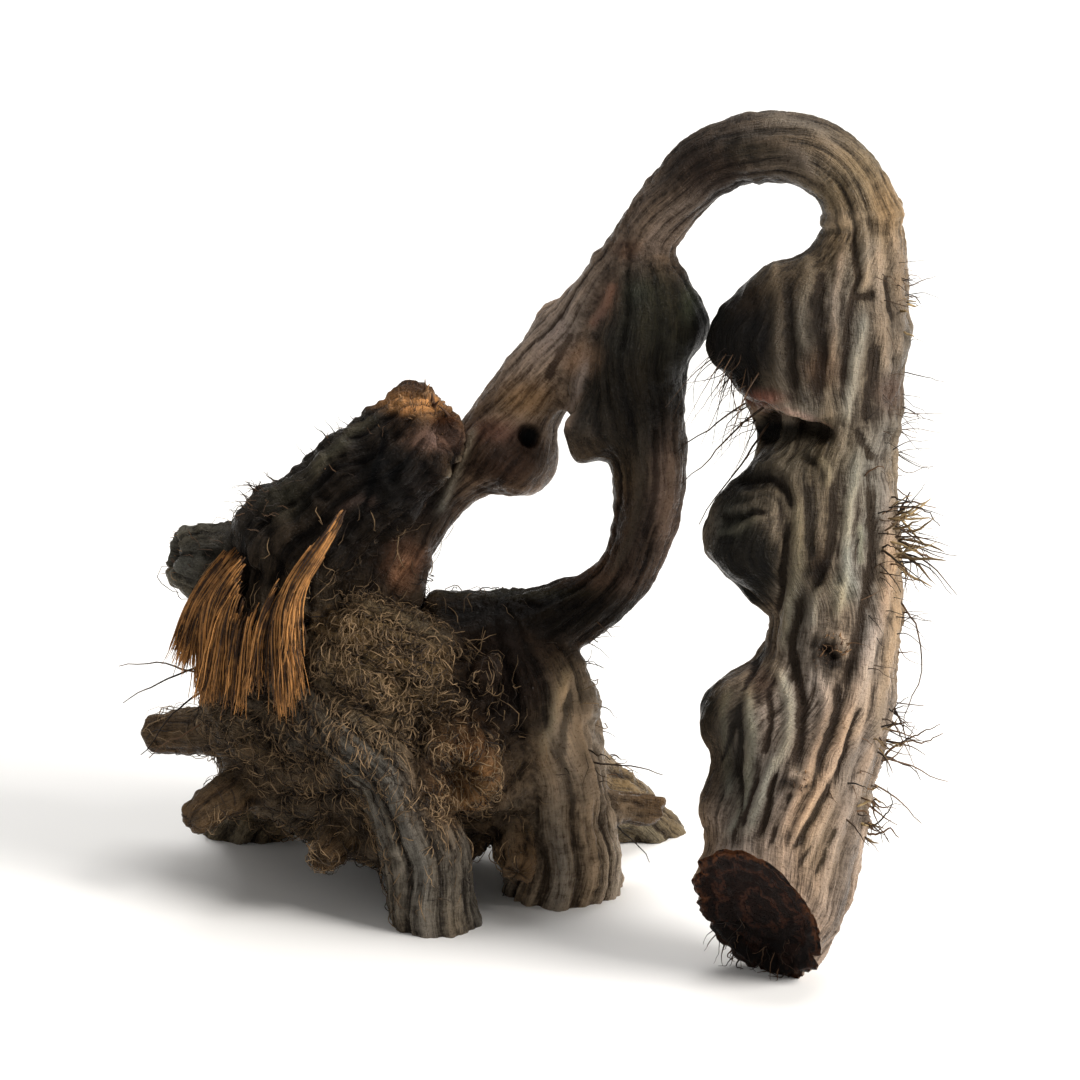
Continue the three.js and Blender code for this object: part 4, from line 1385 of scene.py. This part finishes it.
def skin_parts(piece):
    """The skin's parts, each a piece of its own, with the whole skin's normals along their seams."""
    mesh = piece.data
    set_vectors(mesh, "whole_normal", normals_of(mesh))
    centres = read_rows(mesh.polygons, "center", 3) / MM
    place = Place(centres)
    on_cane, on_loop = place.main == 0, place.main == 1
    leg = on_cane & (place.along[0] < LIMBS[0].along_at(LEG_END))
    arch = on_cane & (place.along[0] < LIMBS[0].along_at(LOOP_END))
    loop = ~leg & (arch | (on_loop & (centres[:, 2] > LOOP_FOOT)))
    crown = ~leg & ~loop
    front = crown & (centres[:, 1] < CROWN_SEAM)
    parts = []
    choices = {"leg_skin": leg, "loop_skin": loop, "crown_skin": front, "back_skin": crown & ~front}
    for name, faces in choices.items():
        part = piece.copy()
        part.name = name
        part.data = mesh.copy()
        work = bmesh.new()
        work.from_mesh(part.data)
        work.faces.ensure_lookup_table()
        bmesh.ops.delete(work, geom=[work.faces[k] for k in np.flatnonzero(~faces)], context="FACES")
        work.to_mesh(part.data)
        work.free()
        part.data.name = name
        layer = part.data.attributes["whole_normal"]
        normals = read_rows(layer.data, "vector", 3).tolist()
        part.data.attributes.remove(layer)
        part.data.normals_split_custom_set_from_vertices(normals)
        bpy.context.scene.collection.objects.link(part)
        parts.append(part)
    bpy.data.objects.remove(piece)
    return parts


def strand_mesh(name, paths, radii, sides=3):
    """Closed, tapered strands along paths of equal numbers of points."""
    paths, radii = np.asarray(paths, float), np.asarray(radii, float)
    count, points = paths.shape[:2]
    tangent = unit(np.gradient(paths, axis=1))
    whole = paths[:, -1] - paths[:, 0]
    steep = np.abs(whole[:, 2:]) > np.abs(whole[:, :1])
    helper = np.where(steep, [[1.0, 0.3, 0]], [[0, 0, 1.0]])
    side = unit(np.cross(helper[:, None], tangent))
    across = np.cross(tangent, side)
    angle = (np.arange(sides) * 2 * math.pi / sides)[None, None, :, None]
    ring = side[:, :, None] * np.cos(angle) + across[:, :, None] * np.sin(angle)
    vertices = (paths[:, :, None] + ring * radii[:, :, None, None]).reshape(-1, 3)
    turn = [(k, (k + 1) % sides) for k in range(sides)]
    faces = []
    for strand in range(count):
        first = strand * points * sides
        last = first + (points - 1) * sides
        for low in range(first, last, sides):
            faces.extend((low + k, low + j, low + sides + j, low + sides + k) for k, j in turn)
        faces.append(tuple(first + k for k in reversed(range(sides))))
        faces.append(tuple(last + k for k in range(sides)))
    piece = mesh_object(name, vertices, faces)
    each = points * sides
    set_floats(piece.data, "tone", np.repeat(np.random.default_rng(SEED).random(count), each))
    set_floats(piece.data, "run", np.tile(np.repeat(np.linspace(0, 1, points), sides), count))
    return piece


def kept_in(paths):
    """The paths, with those that leave the part's room drawn in towards their starts."""
    paths = np.asarray(paths, float)
    start = paths[:, :1]
    away = paths - start
    room = np.where(away > 0, ROOM_HIGH - start, ROOM_LOW - start)
    share = np.where(np.abs(away) > 1e-6, room / np.where(np.abs(away) > 1e-6, away, 1), np.inf)
    return start + away * np.clip(share.min(axis=(1, 2)), 0.05, 1)[:, None, None]


def linear_draws(seed):
    """Repeatable numbers from 0 to 1, by the usual linear rule."""
    state = seed
    while True:
        state = (state * 1664525 + 1013904223) % 2**32
        yield state / 2**32


def kinked(rng, paths, amount):
    """The paths with small kinks that grow towards their tips."""
    steps = rng.normal(0, amount, paths.shape)
    return paths + np.cumsum(steps, axis=1) * np.linspace(0, 1, paths.shape[1])[None, :, None]


def rootlets():
    """Fine, wiry rootlets where the solid part has its own."""
    draws = linear_draws(SEED)
    spread = lambda: next(draws) - 0.5
    t = np.linspace(0, 1, 12)
    paths = []
    for centre, radius, towards, count, length in TUFTS:
        for _ in range(count):
            scatter = np.array([spread(), spread(), spread()])
            outward = unit(unit(np.array(towards)) + scatter * 1.1)
            start = np.array(centre) + outward * radius * (1 - ROOTLET_SINK)
            start[2] += 3 * spread()
            whole = radius * ROOTLET_SINK + length * (0.75 + 0.5 * next(draws))
            droop, bend = 2.6 * next(draws), 2 * spread()
            sideways = unit(np.cross([0, 0, 1], outward))
            swing = bend * np.sin(1.5 * math.pi * t)
            path = start + outward * (whole * t)[:, None] + sideways * swing[:, None]
            path[:, 2] -= droop * t * t
            paths.append(path)
    paths = kinked(np.random.default_rng(SEED), np.array(paths), 0.13)
    paths[:, :, 2] = np.maximum(paths[:, :, 2], ROOTLET_RADIUS)
    radii = np.tile(ROOTLET_RADIUS * (1 - 0.7 * t), (len(paths), 1))
    return strand_mesh("rootlets", kept_in(paths), radii, 5)


def surface_tree(piece):
    """A search tree of a piece's surface, in millimetres."""
    points = [Vector(p) for p in points_of(piece.data)]
    return BVHTree.FromPolygons(points, [list(p.vertices) for p in piece.data.polygons])


def picture_point(tree, pixel):
    """The point of the surface that a pixel of the picture shows, or the nearest one to its line."""
    x = (pixel[0] - PHOTO_ORIGIN[0]) / PHOTO_SCALE
    z = (PHOTO_ORIGIN[1] - pixel[1]) / PHOTO_SCALE / math.cos(VIEW_TILT)
    ray = Vector(-TO_CAMERA)
    start = Vector((x, PHOTO_ORIGIN_DEPTH, z)) - ray * 100
    hit = tree.ray_cast(start, ray)
    if hit[0] is None:
        line = (start + ray * s for s in np.arange(60, 150, 1.0))
        hit = min((tree.find_nearest(point) for point in line), key=lambda near: near[3])
    return np.array(hit[0]), np.array(hit[1])


def hair_tufts(tree):
    """Fine dark hairs in tufts, each at a place that the picture shows."""
    rng = np.random.default_rng(SEED + 3)
    t = np.linspace(0, 1, 9)
    paths, radii = [], []
    for pixel, spread, towards, count, length, thick in HAIR_TUFTS:
        for _ in range(count):
            centre, normal = picture_point(tree, np.array(pixel) + rng.normal(0, 1, 2) * spread)
            aim = unit(unit(np.array(towards, float)) + rng.normal(0, 0.42, 3))
            reach = length * rng.uniform(0.4, 1.25)
            side = unit(np.cross(aim, rng.normal(0, 1, 3)))
            curl = rng.uniform(-0.3, 0.3) * reach
            path = centre - normal * 0.25 + aim * (reach * t)[:, None]
            path = path + side * (curl * np.sin(t * rng.uniform(2, 5)))[:, None]
            path[:, 2] -= rng.uniform(0, 0.35) * reach * t**2
            paths.append(path)
            radii.append(thick * rng.uniform(0.7, 1.3) * (1 - 0.75 * t))
    paths = kinked(rng, np.array(paths), 0.07)
    paths[:, :, 2] = np.maximum(paths[:, :, 2], 0.1)
    return strand_mesh("root_hairs", kept_in(paths), radii)


def mat_starts(tree, rng, centre, size, count):
    """Points and normals of the surface scattered round a place."""
    for _ in range(count):
        probe = np.array(centre) + rng.normal(0, 1, 3) * size
        point, normal, _, away = tree.find_nearest(Vector(probe))
        if away < 3.5 and point.z > 0.6:
            yield np.array(point), np.array(normal)


def matted_fibres(tree, name, mats):
    """Fibres matted over the crown in tufts, each one creeping along the bark."""
    rng = np.random.default_rng(SEED + 5)
    paths, radii = [], []
    for centre, size, flow, count, length, lift in mats:
        flow = unit(np.array(flow, float))
        for point, normal in mat_starts(tree, rng, centre, size, count):
            tuft = [value_noise(point[None] * 0.45, seed)[0] for seed in (111, 112, 113)]
            heading = flow + 1.5 * np.array(tuft) + rng.normal(0, 0.5, 3)
            reach = length * rng.uniform(0.4, 1.3)
            rise = lift * rng.uniform(0.1, 1.0)
            path = []
            for k in range(MAT_POINTS):
                arch = math.sin(math.pi * k / (MAT_POINTS - 1))
                path.append(point + normal * (rise * (0.35 + arch) - 0.12))
                heading = heading + rng.normal(0, 0.24, 3)
                heading = unit(heading - normal * heading.dot(normal))
                onward = point + heading * reach / (MAT_POINTS - 1)
                near, turned, _, _ = tree.find_nearest(Vector(onward))
                point, normal = np.array(near), np.array(turned)
            paths.append(path)
            fade = 1 - 0.6 * np.linspace(-1, 1, MAT_POINTS) ** 4
            radii.append(rng.uniform(*MAT_RADII) * fade)
    paths = np.array(paths)
    paths[:, :, 2] = np.maximum(paths[:, :, 2], 0.1)
    return strand_mesh(name, kept_in(paths), radii)


def splinters(tree):
    """Torn splinters of wood on the broken ends."""
    rng = np.random.default_rng(SEED + 9)
    t = np.linspace(0, 1, 5)
    paths, radii = [], []
    for centre, size, towards, count, length, thick in SPLINTERS:
        aim = unit(np.array(towards, float))
        for point, normal in mat_starts(tree, rng, centre, size, count):
            lean = unit(aim + rng.normal(0, 0.35, 3) + 0.4 * normal)
            reach = length * rng.uniform(0.3, 1.2)
            bow = rng.normal(0, 0.12, 3) * reach
            path = point - normal * 0.3 + lean * (reach * t)[:, None] + bow * (t**2)[:, None]
            paths.append(path)
            radii.append(thick * rng.uniform(0.6, 1.3) * (1 - 0.85 * t))
    return strand_mesh("splinters", kept_in(paths), radii, 4)


def twigs():
    """The few twigs that the picture shows beside the leg."""
    rng = np.random.default_rng(SEED + 13)
    t = np.linspace(0, 1, 14)
    paths, radii = [], []
    for thick, depth, line in TWIGS:
        pixels = centripetal(np.array(line, float), t * (len(line) - 1))
        up = (PHOTO_ORIGIN[1] - pixels[:, 1]) / PHOTO_SCALE
        z = (up - math.sin(VIEW_TILT) * (depth - PHOTO_ORIGIN_DEPTH)) / math.cos(VIEW_TILT)
        x = (pixels[:, 0] - PHOTO_ORIGIN[0]) / PHOTO_SCALE
        paths.append(np.column_stack([x, np.full(len(t), depth), z]))
        radii.append(thick * (1 - 0.7 * t))
    paths = np.array(paths) + rng.normal(0, 0.05, (len(paths), len(t), 3))
    return strand_mesh("twigs", kept_in(paths), radii, 5)


def husks(tree):
    """Dry curled scraps of husk among the hairs."""
    rng = np.random.default_rng(SEED + 11)
    t = np.linspace(0, 1, 8)
    paths, radii = [], []
    for pixel, spread, towards, count, length, thick in HUSKS:
        for _ in range(count):
            centre, normal = picture_point(tree, np.array(pixel) + rng.normal(0, 1, 2) * spread)
            aim = unit(unit(np.array(towards, float)) + rng.normal(0, 0.4, 3))
            reach = length * rng.uniform(0.5, 1.2)
            side = unit(np.cross(aim, rng.normal(0, 1, 3)))
            bow = rng.uniform(-0.5, 0.5) * reach
            path = centre - normal * 0.3 + aim * (reach * t)[:, None] + side * (bow * t**2)[:, None]
            paths.append(path)
            width = np.sin(math.pi * (0.12 + 0.88 * t)) ** 0.7
            radii.append(thick * rng.uniform(0.5, 1.2) * width)
    paths = kinked(rng, np.array(paths), 0.1)
    return strand_mesh("husks", kept_in(paths), radii, 5)


def along_rail(rail, share):
    """The point at a share of a rail's length."""
    rail = np.array(rail, float)
    t = np.linspace(0, len(rail) - 1, 200)
    line = centripetal(rail, t)
    run = np.concatenate([[0], np.cumsum(np.linalg.norm(np.diff(line, axis=0), axis=1))])
    return centripetal(rail, np.array([np.interp(share * run[-1], run, t)]))[0]


def sheath():
    """The torn leaf sheath: flat blades split lengthwise into fibres."""
    draws = linear_draws(SEED + 1)
    rng = np.random.default_rng(SEED + 1)
    t = np.linspace(0, 2, 14)
    paths, radii = [], []
    for start, hang, highest, count in BLADES:
        foot = along_rail(SHEATH_TOP, start)
        belly, tip = along_rail(SHEATH_MIDDLE, hang), along_rail(SHEATH_LOW, hang)
        facing = unit(np.array([foot[0] - CROWN_AXIS[0], foot[1] - CROWN_AXIS[1], 0]))
        tip[0] += 1.6 * (next(draws) - 0.5)
        tip = belly + (tip - belly) * (0.65 + 0.5 * next(draws))
        foot = belly + (foot - belly) * (0.85 + 0.3 * next(draws))
        for _ in range(count):
            begin = highest + rng.uniform(0, 0.3)
            at = begin + t * (2 - begin) / 2
            line = centripetal(np.array([foot, belly, tip]), at)
            tangent = unit(np.gradient(line, axis=0))
            across = unit(np.cross(tangent, facing))
            offset = rng.uniform(-BLADE_HALF_WIDTH, BLADE_HALF_WIDTH)
            lift = rng.uniform(-BLADE_HALF_DEPTH, BLADE_HALF_DEPTH) * (1 - 0.6 * abs(offset))
            spread = (0.35 + 0.65 * at / 2)[:, None]
            path = line + across * offset * spread + np.cross(across, tangent) * lift
            path = path + (at / 2)[:, None] ** 3 * rng.normal(0, 0.26, 3)
            path = path - facing * (BLADE_SINK * (1 - at / 2) ** 5)[:, None]
            middle = path[len(t) // 2]
            paths.append(middle + (path - middle) * rng.uniform(*BLADE_LENGTHS))
            radii.append(rng.uniform(*BLADE_RADII) * (1 - 0.6 * (t / 2) ** 4))
    paths = kinked(rng, np.array(paths), 0.045)
    return strand_mesh("sheath_fibres", kept_in(paths), radii)


class Shade:
    """A material whose colour, roughness and relief come from nodes."""

    def __init__(self, name, roughness, specular=0.25):
        self.material = bpy.data.materials.new(name)
        self.material.use_nodes = True
        self.tree = self.material.node_tree
        self.shader = self.tree.nodes["Principled BSDF"]
        self.shader.inputs["Roughness"].default_value = roughness
        self.shader.inputs["Specular IOR Level"].default_value = specular

    def node(self, kind, inputs, output=0, **settings):
        """Add a node, give its inputs values or links, and return one of its outputs."""
        node = self.tree.nodes.new("ShaderNode" + kind)
        for name, value in settings.items():
            setattr(node, name, value)
        for key, value in inputs.items():
            if isinstance(value, bpy.types.NodeSocket):
                self.tree.links.new(value, node.inputs[key])
            else:
                node.inputs[key].default_value = value
        return node.outputs[output]

    def attribute(self, name, output="Fac"):
        return self.node("Attribute", {}, output, attribute_name=name)

    def place(self):
        """Where a point is, in millimetres."""
        where = self.node("TexCoord", {}, "Object")
        return self.node("VectorMath", {0: where, 1: (1 / MM,) * 3}, operation="MULTIPLY")

    def stretched(self, vector, x, y, z):
        return self.node("VectorMath", {0: vector, 1: (x, y, z)}, operation="MULTIPLY")

    def noise(self, vector, scale, detail=3, roughness=0.6, distortion=0.0):
        inputs = {"Vector": vector, "Scale": scale, "Detail": detail, "Roughness": roughness}
        return self.node("TexNoise", {**inputs, "Distortion": distortion})

    def maths(self, operation, a, b=0.0, c=0.0):
        return self.node("Math", {0: a, 1: b, 2: c}, operation=operation)

    def scaled(self, value, gain, centre=0.5):
        """(value - centre) * gain."""
        return self.maths("MULTIPLY_ADD", value, gain, -centre * gain)

    def blend(self, factor, a, b):
        return self.node("Mix", {0: factor, 2: a, 3: b}, 0, data_type="FLOAT")

    def sum(self, *values):
        total = values[0]
        for value in values[1:]:
            total = self.maths("ADD", total, value)
        return total

    def ramp(self, value, low, high):
        """Rises smoothly from 0 at low to 1 at high."""
        inputs = {"Value": value, "From Min": low, "From Max": high}
        return self.node("MapRange", inputs, interpolation_type="SMOOTHSTEP")

    def mix(self, factor, a, b, blend="MIX"):
        inputs = {0: factor, 6: as_colour(a), 7: as_colour(b)}
        return self.node("Mix", inputs, 2, data_type="RGBA", blend_type=blend)

    def relief(self, height, distance, strength=1.0):
        """Fine relief from a height of 0 to 1, as deep as distance in millimetres."""
        inputs = {"Height": height, "Distance": distance * MM, "Strength": strength}
        self.tree.links.new(self.node("Bump", inputs), self.shader.inputs["Normal"])

    def finish(self, colour, roughness=None):
        self.tree.links.new(colour, self.shader.inputs["Base Color"])
        if roughness is not None:
            self.tree.links.new(roughness, self.shader.inputs["Roughness"])
        return self.material


def as_colour(value):
    return (*linear(value), 1) if isinstance(value, str) else value


def bark_material():
    """Worn crests, dark grooves, painted shade in the hollows, fibres along the grain and a chopped
    face of its own.
    """
    shade = Shade("bark", 0.86, 0.08)
    place = shade.place()
    grain = shade.attribute("grain", "Vector")
    mottle = shade.noise(place, 0.9, 5, 0.62)
    plain = shade.maths("MULTIPLY_ADD", shade.noise(place, 2.4, 4, 0.62), 0.4, 0.3)
    seam = shade.ramp(shade.attribute("seam"), 0.35, 0.75)
    strands = shade.noise(shade.stretched(grain, 1, 1, 0.09), 2.4, 4, 0.62)
    threads = shade.noise(shade.stretched(grain, 1, 1, 0.14), 7.0, 3, 0.6)
    checks = shade.noise(shade.stretched(grain, 0.5, 0.5, 2.6), 2.2, 3, 0.6)
    strands, threads, checks = (shade.blend(seam, v, plain) for v in (strands, threads, checks))
    dust = shade.noise(place, 5.5, 3, 0.7)

    noises = {"strands": strands, "threads": threads, "mottle": mottle, "checks": checks, "dust": dust}
    # Crests worn bare by height and noise, and the hollow and deep heights darkening the hollows as
    # painted shade
    raised = (shade.scaled(shade.attribute(name), gain, 0) for name, gain in HEIGHT_WEAR_AND_SHADE.items())
    worn = (shade.scaled(noises[name], gain) for name, gain in NOISE_WEAR.items())
    wear_and_shade = shade.sum(*raised, *worn, BASE_WEAR)
    bark = shade.mix(
        shade.ramp(wear_and_shade, 0.0, 1.0),
        shade.attribute("grooves", "Color"),
        shade.attribute("crests", "Color"),
    )
    bark = shade.mix(shade.ramp(wear_and_shade, 0.95, 1.7), bark, (1.3, 1.28, 1.25, 1), "MULTIPLY")
    bark = shade.mix(shade.ramp(dust, 0.56, 0.68), bark, (0.55, 0.5, 0.46, 1), "MULTIPLY")

    cut = shade.attribute("cut")
    ring = shade.sum(cut, shade.scaled(mottle, 0.7), shade.scaled(dust, 0.12))
    lines = shade.maths("SINE", shade.scaled(ring, 17, 0))
    wood = shade.mix(shade.ramp(lines, 0.2, 1.3), CUT_WOOD, CUT_LINES)
    wood = shade.mix(shade.ramp(dust, 0.42, 0.6), wood, (0.45, 0.38, 0.34, 1), "MULTIPLY")
    rim = shade.mix(shade.ramp(mottle, 0.36, 0.56), CUT_WOOD, CUT_RIM)
    wood = shade.mix(shade.ramp(ring, 0.52, 0.66), rim, wood)
    height_up = shade.node("SeparateXYZ", {0: place}, 2)
    wood = shade.mix(shade.ramp(height_up, 6.5, 2.0), wood, (0.3, 0.27, 0.25, 1), "MULTIPLY")
    colour = shade.mix(shade.ramp(cut, 0.3, 0.45), bark, wood)

    rough = (shade.scaled(noises[name], gain, 0) for name, gain in NOISE_RELIEF.items())
    shade.relief(shade.sum(*rough), RELIEF_DEPTH)
    return shade.finish(colour, shade.ramp(strands, 0.9, -0.4))


def fibre_material(name, dark, light, roughness=0.7):
    """Plant fibre: each strand its own tone, paler towards its tip."""
    shade = Shade(name, roughness, 0.3)
    place = shade.place()
    tone = shade.sum(
        shade.scaled(shade.attribute("tone"), 0.8, 0),
        shade.scaled(shade.noise(place, 2.2, 3), 0.8),
        shade.scaled(shade.noise(place, 0.35, 3), 1.3),
        shade.scaled(shade.attribute("run"), 0.2),
    )
    shade.relief(shade.noise(place, 9.0, 2), 0.05, 0.6)
    return shade.finish(shade.mix(shade.ramp(tone, 0.0, 1.0), dark, light))


def dress(piece, material, replaces=None):
    """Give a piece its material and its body."""
    piece.data.materials.clear()
    piece.data.materials.append(material)
    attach(piece, "root")
    if replaces:
        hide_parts(replaces)


def floor():
    half = 0.9
    corners = np.array([[-half, -half, 0], [half, -half, 0], [half, half, 0], [-half, half, 0]])
    plane = mesh_object("floor", corners / MM, [(0, 1, 2, 3)])
    shade = Shade("floor", 0.7)
    place = shade.place()
    tone = shade.ramp(shade.noise(place, 0.02, 2), 0.3, 0.7)
    plane.data.materials.append(shade.finish(shade.mix(tone, "f2f1ee", "f5f4f2")))


def area_light(name, towards, distance, size, power, colour):
    """A square light that shines on the root from a direction."""
    data = bpy.data.lights.new(name, "AREA")
    data.size = size
    data.energy = power
    data.color = colour
    light = bpy.data.objects.new(name, data)
    direction = Vector(towards).normalized()
    light.location = Vector(TARGET) + direction * distance
    light.rotation_euler = direction.to_track_quat("Z", "Y").to_euler()
    bpy.context.scene.collection.objects.link(light)


def lights():
    area_light("key", (1.0, -0.42, 0.62), 0.5, 0.22, 3.8, (1.0, 0.97, 0.94))
    area_light("top", (0.1, 0.45, 0.9), 0.6, 0.5, 3.2, (1.0, 0.99, 0.98))
    area_light("fill", (-0.7, -0.6, 0.3), 0.6, 0.5, 0.25, (0.95, 0.97, 1.0))
    world = bpy.data.worlds.new("world")
    world.use_nodes = True
    world.node_tree.nodes["Background"].inputs["Color"].default_value = (1.0, 0.985, 0.965, 1)
    world.node_tree.nodes["Background"].inputs["Strength"].default_value = 0.3
    bpy.context.scene.world = world
    bpy.context.scene.view_settings.view_transform = "Standard"


def camera():
    """A camera at the picture's angle, far enough away to see the root without strong perspective."""
    data = bpy.data.cameras.new("camera")
    data.sensor_width = 36
    data.lens = CAMERA_DISTANCE * 36 / FIELD_WIDTH
    data.clip_start = 0.01
    data.clip_end = 20
    eye = bpy.data.objects.new("camera", data)
    eye.location = Vector(TARGET) + Vector(TO_CAMERA) * CAMERA_DISTANCE
    eye.rotation_euler = Vector(TO_CAMERA).to_track_quat("Z", "Y").to_euler()
    bpy.context.scene.collection.objects.link(eye)
    bpy.context.scene.camera = eye


lights()
camera()
floor()
skin = bark_skin()
tree = surface_tree(skin)
wire = fibre_material("wiry_roots", "1b130d", "644a33")
bark = bark_material()
for part in skin_parts(skin):
    dress(part, bark, "rhizome")
dress(rootlets(), wire)
dress(hair_tufts(tree), wire)
mat = fibre_material("matted_fibres", "1e150e", "957a59")
dress(matted_fibres(tree, "crown_fibres", MATS), mat)
dress(matted_fibres(tree, "back_fibres", BACK_MATS), mat)
dress(splinters(tree), fibre_material("splinters", "4a3322", "a07a52"))
dress(twigs(), wire)
dress(husks(tree), fibre_material("husks", "5d4a30", "a89066", 0.65))
dress(sheath(), fibre_material("sheath_fibres", "2e1c0e", "bf864a", 0.6), "leaf_sheath")
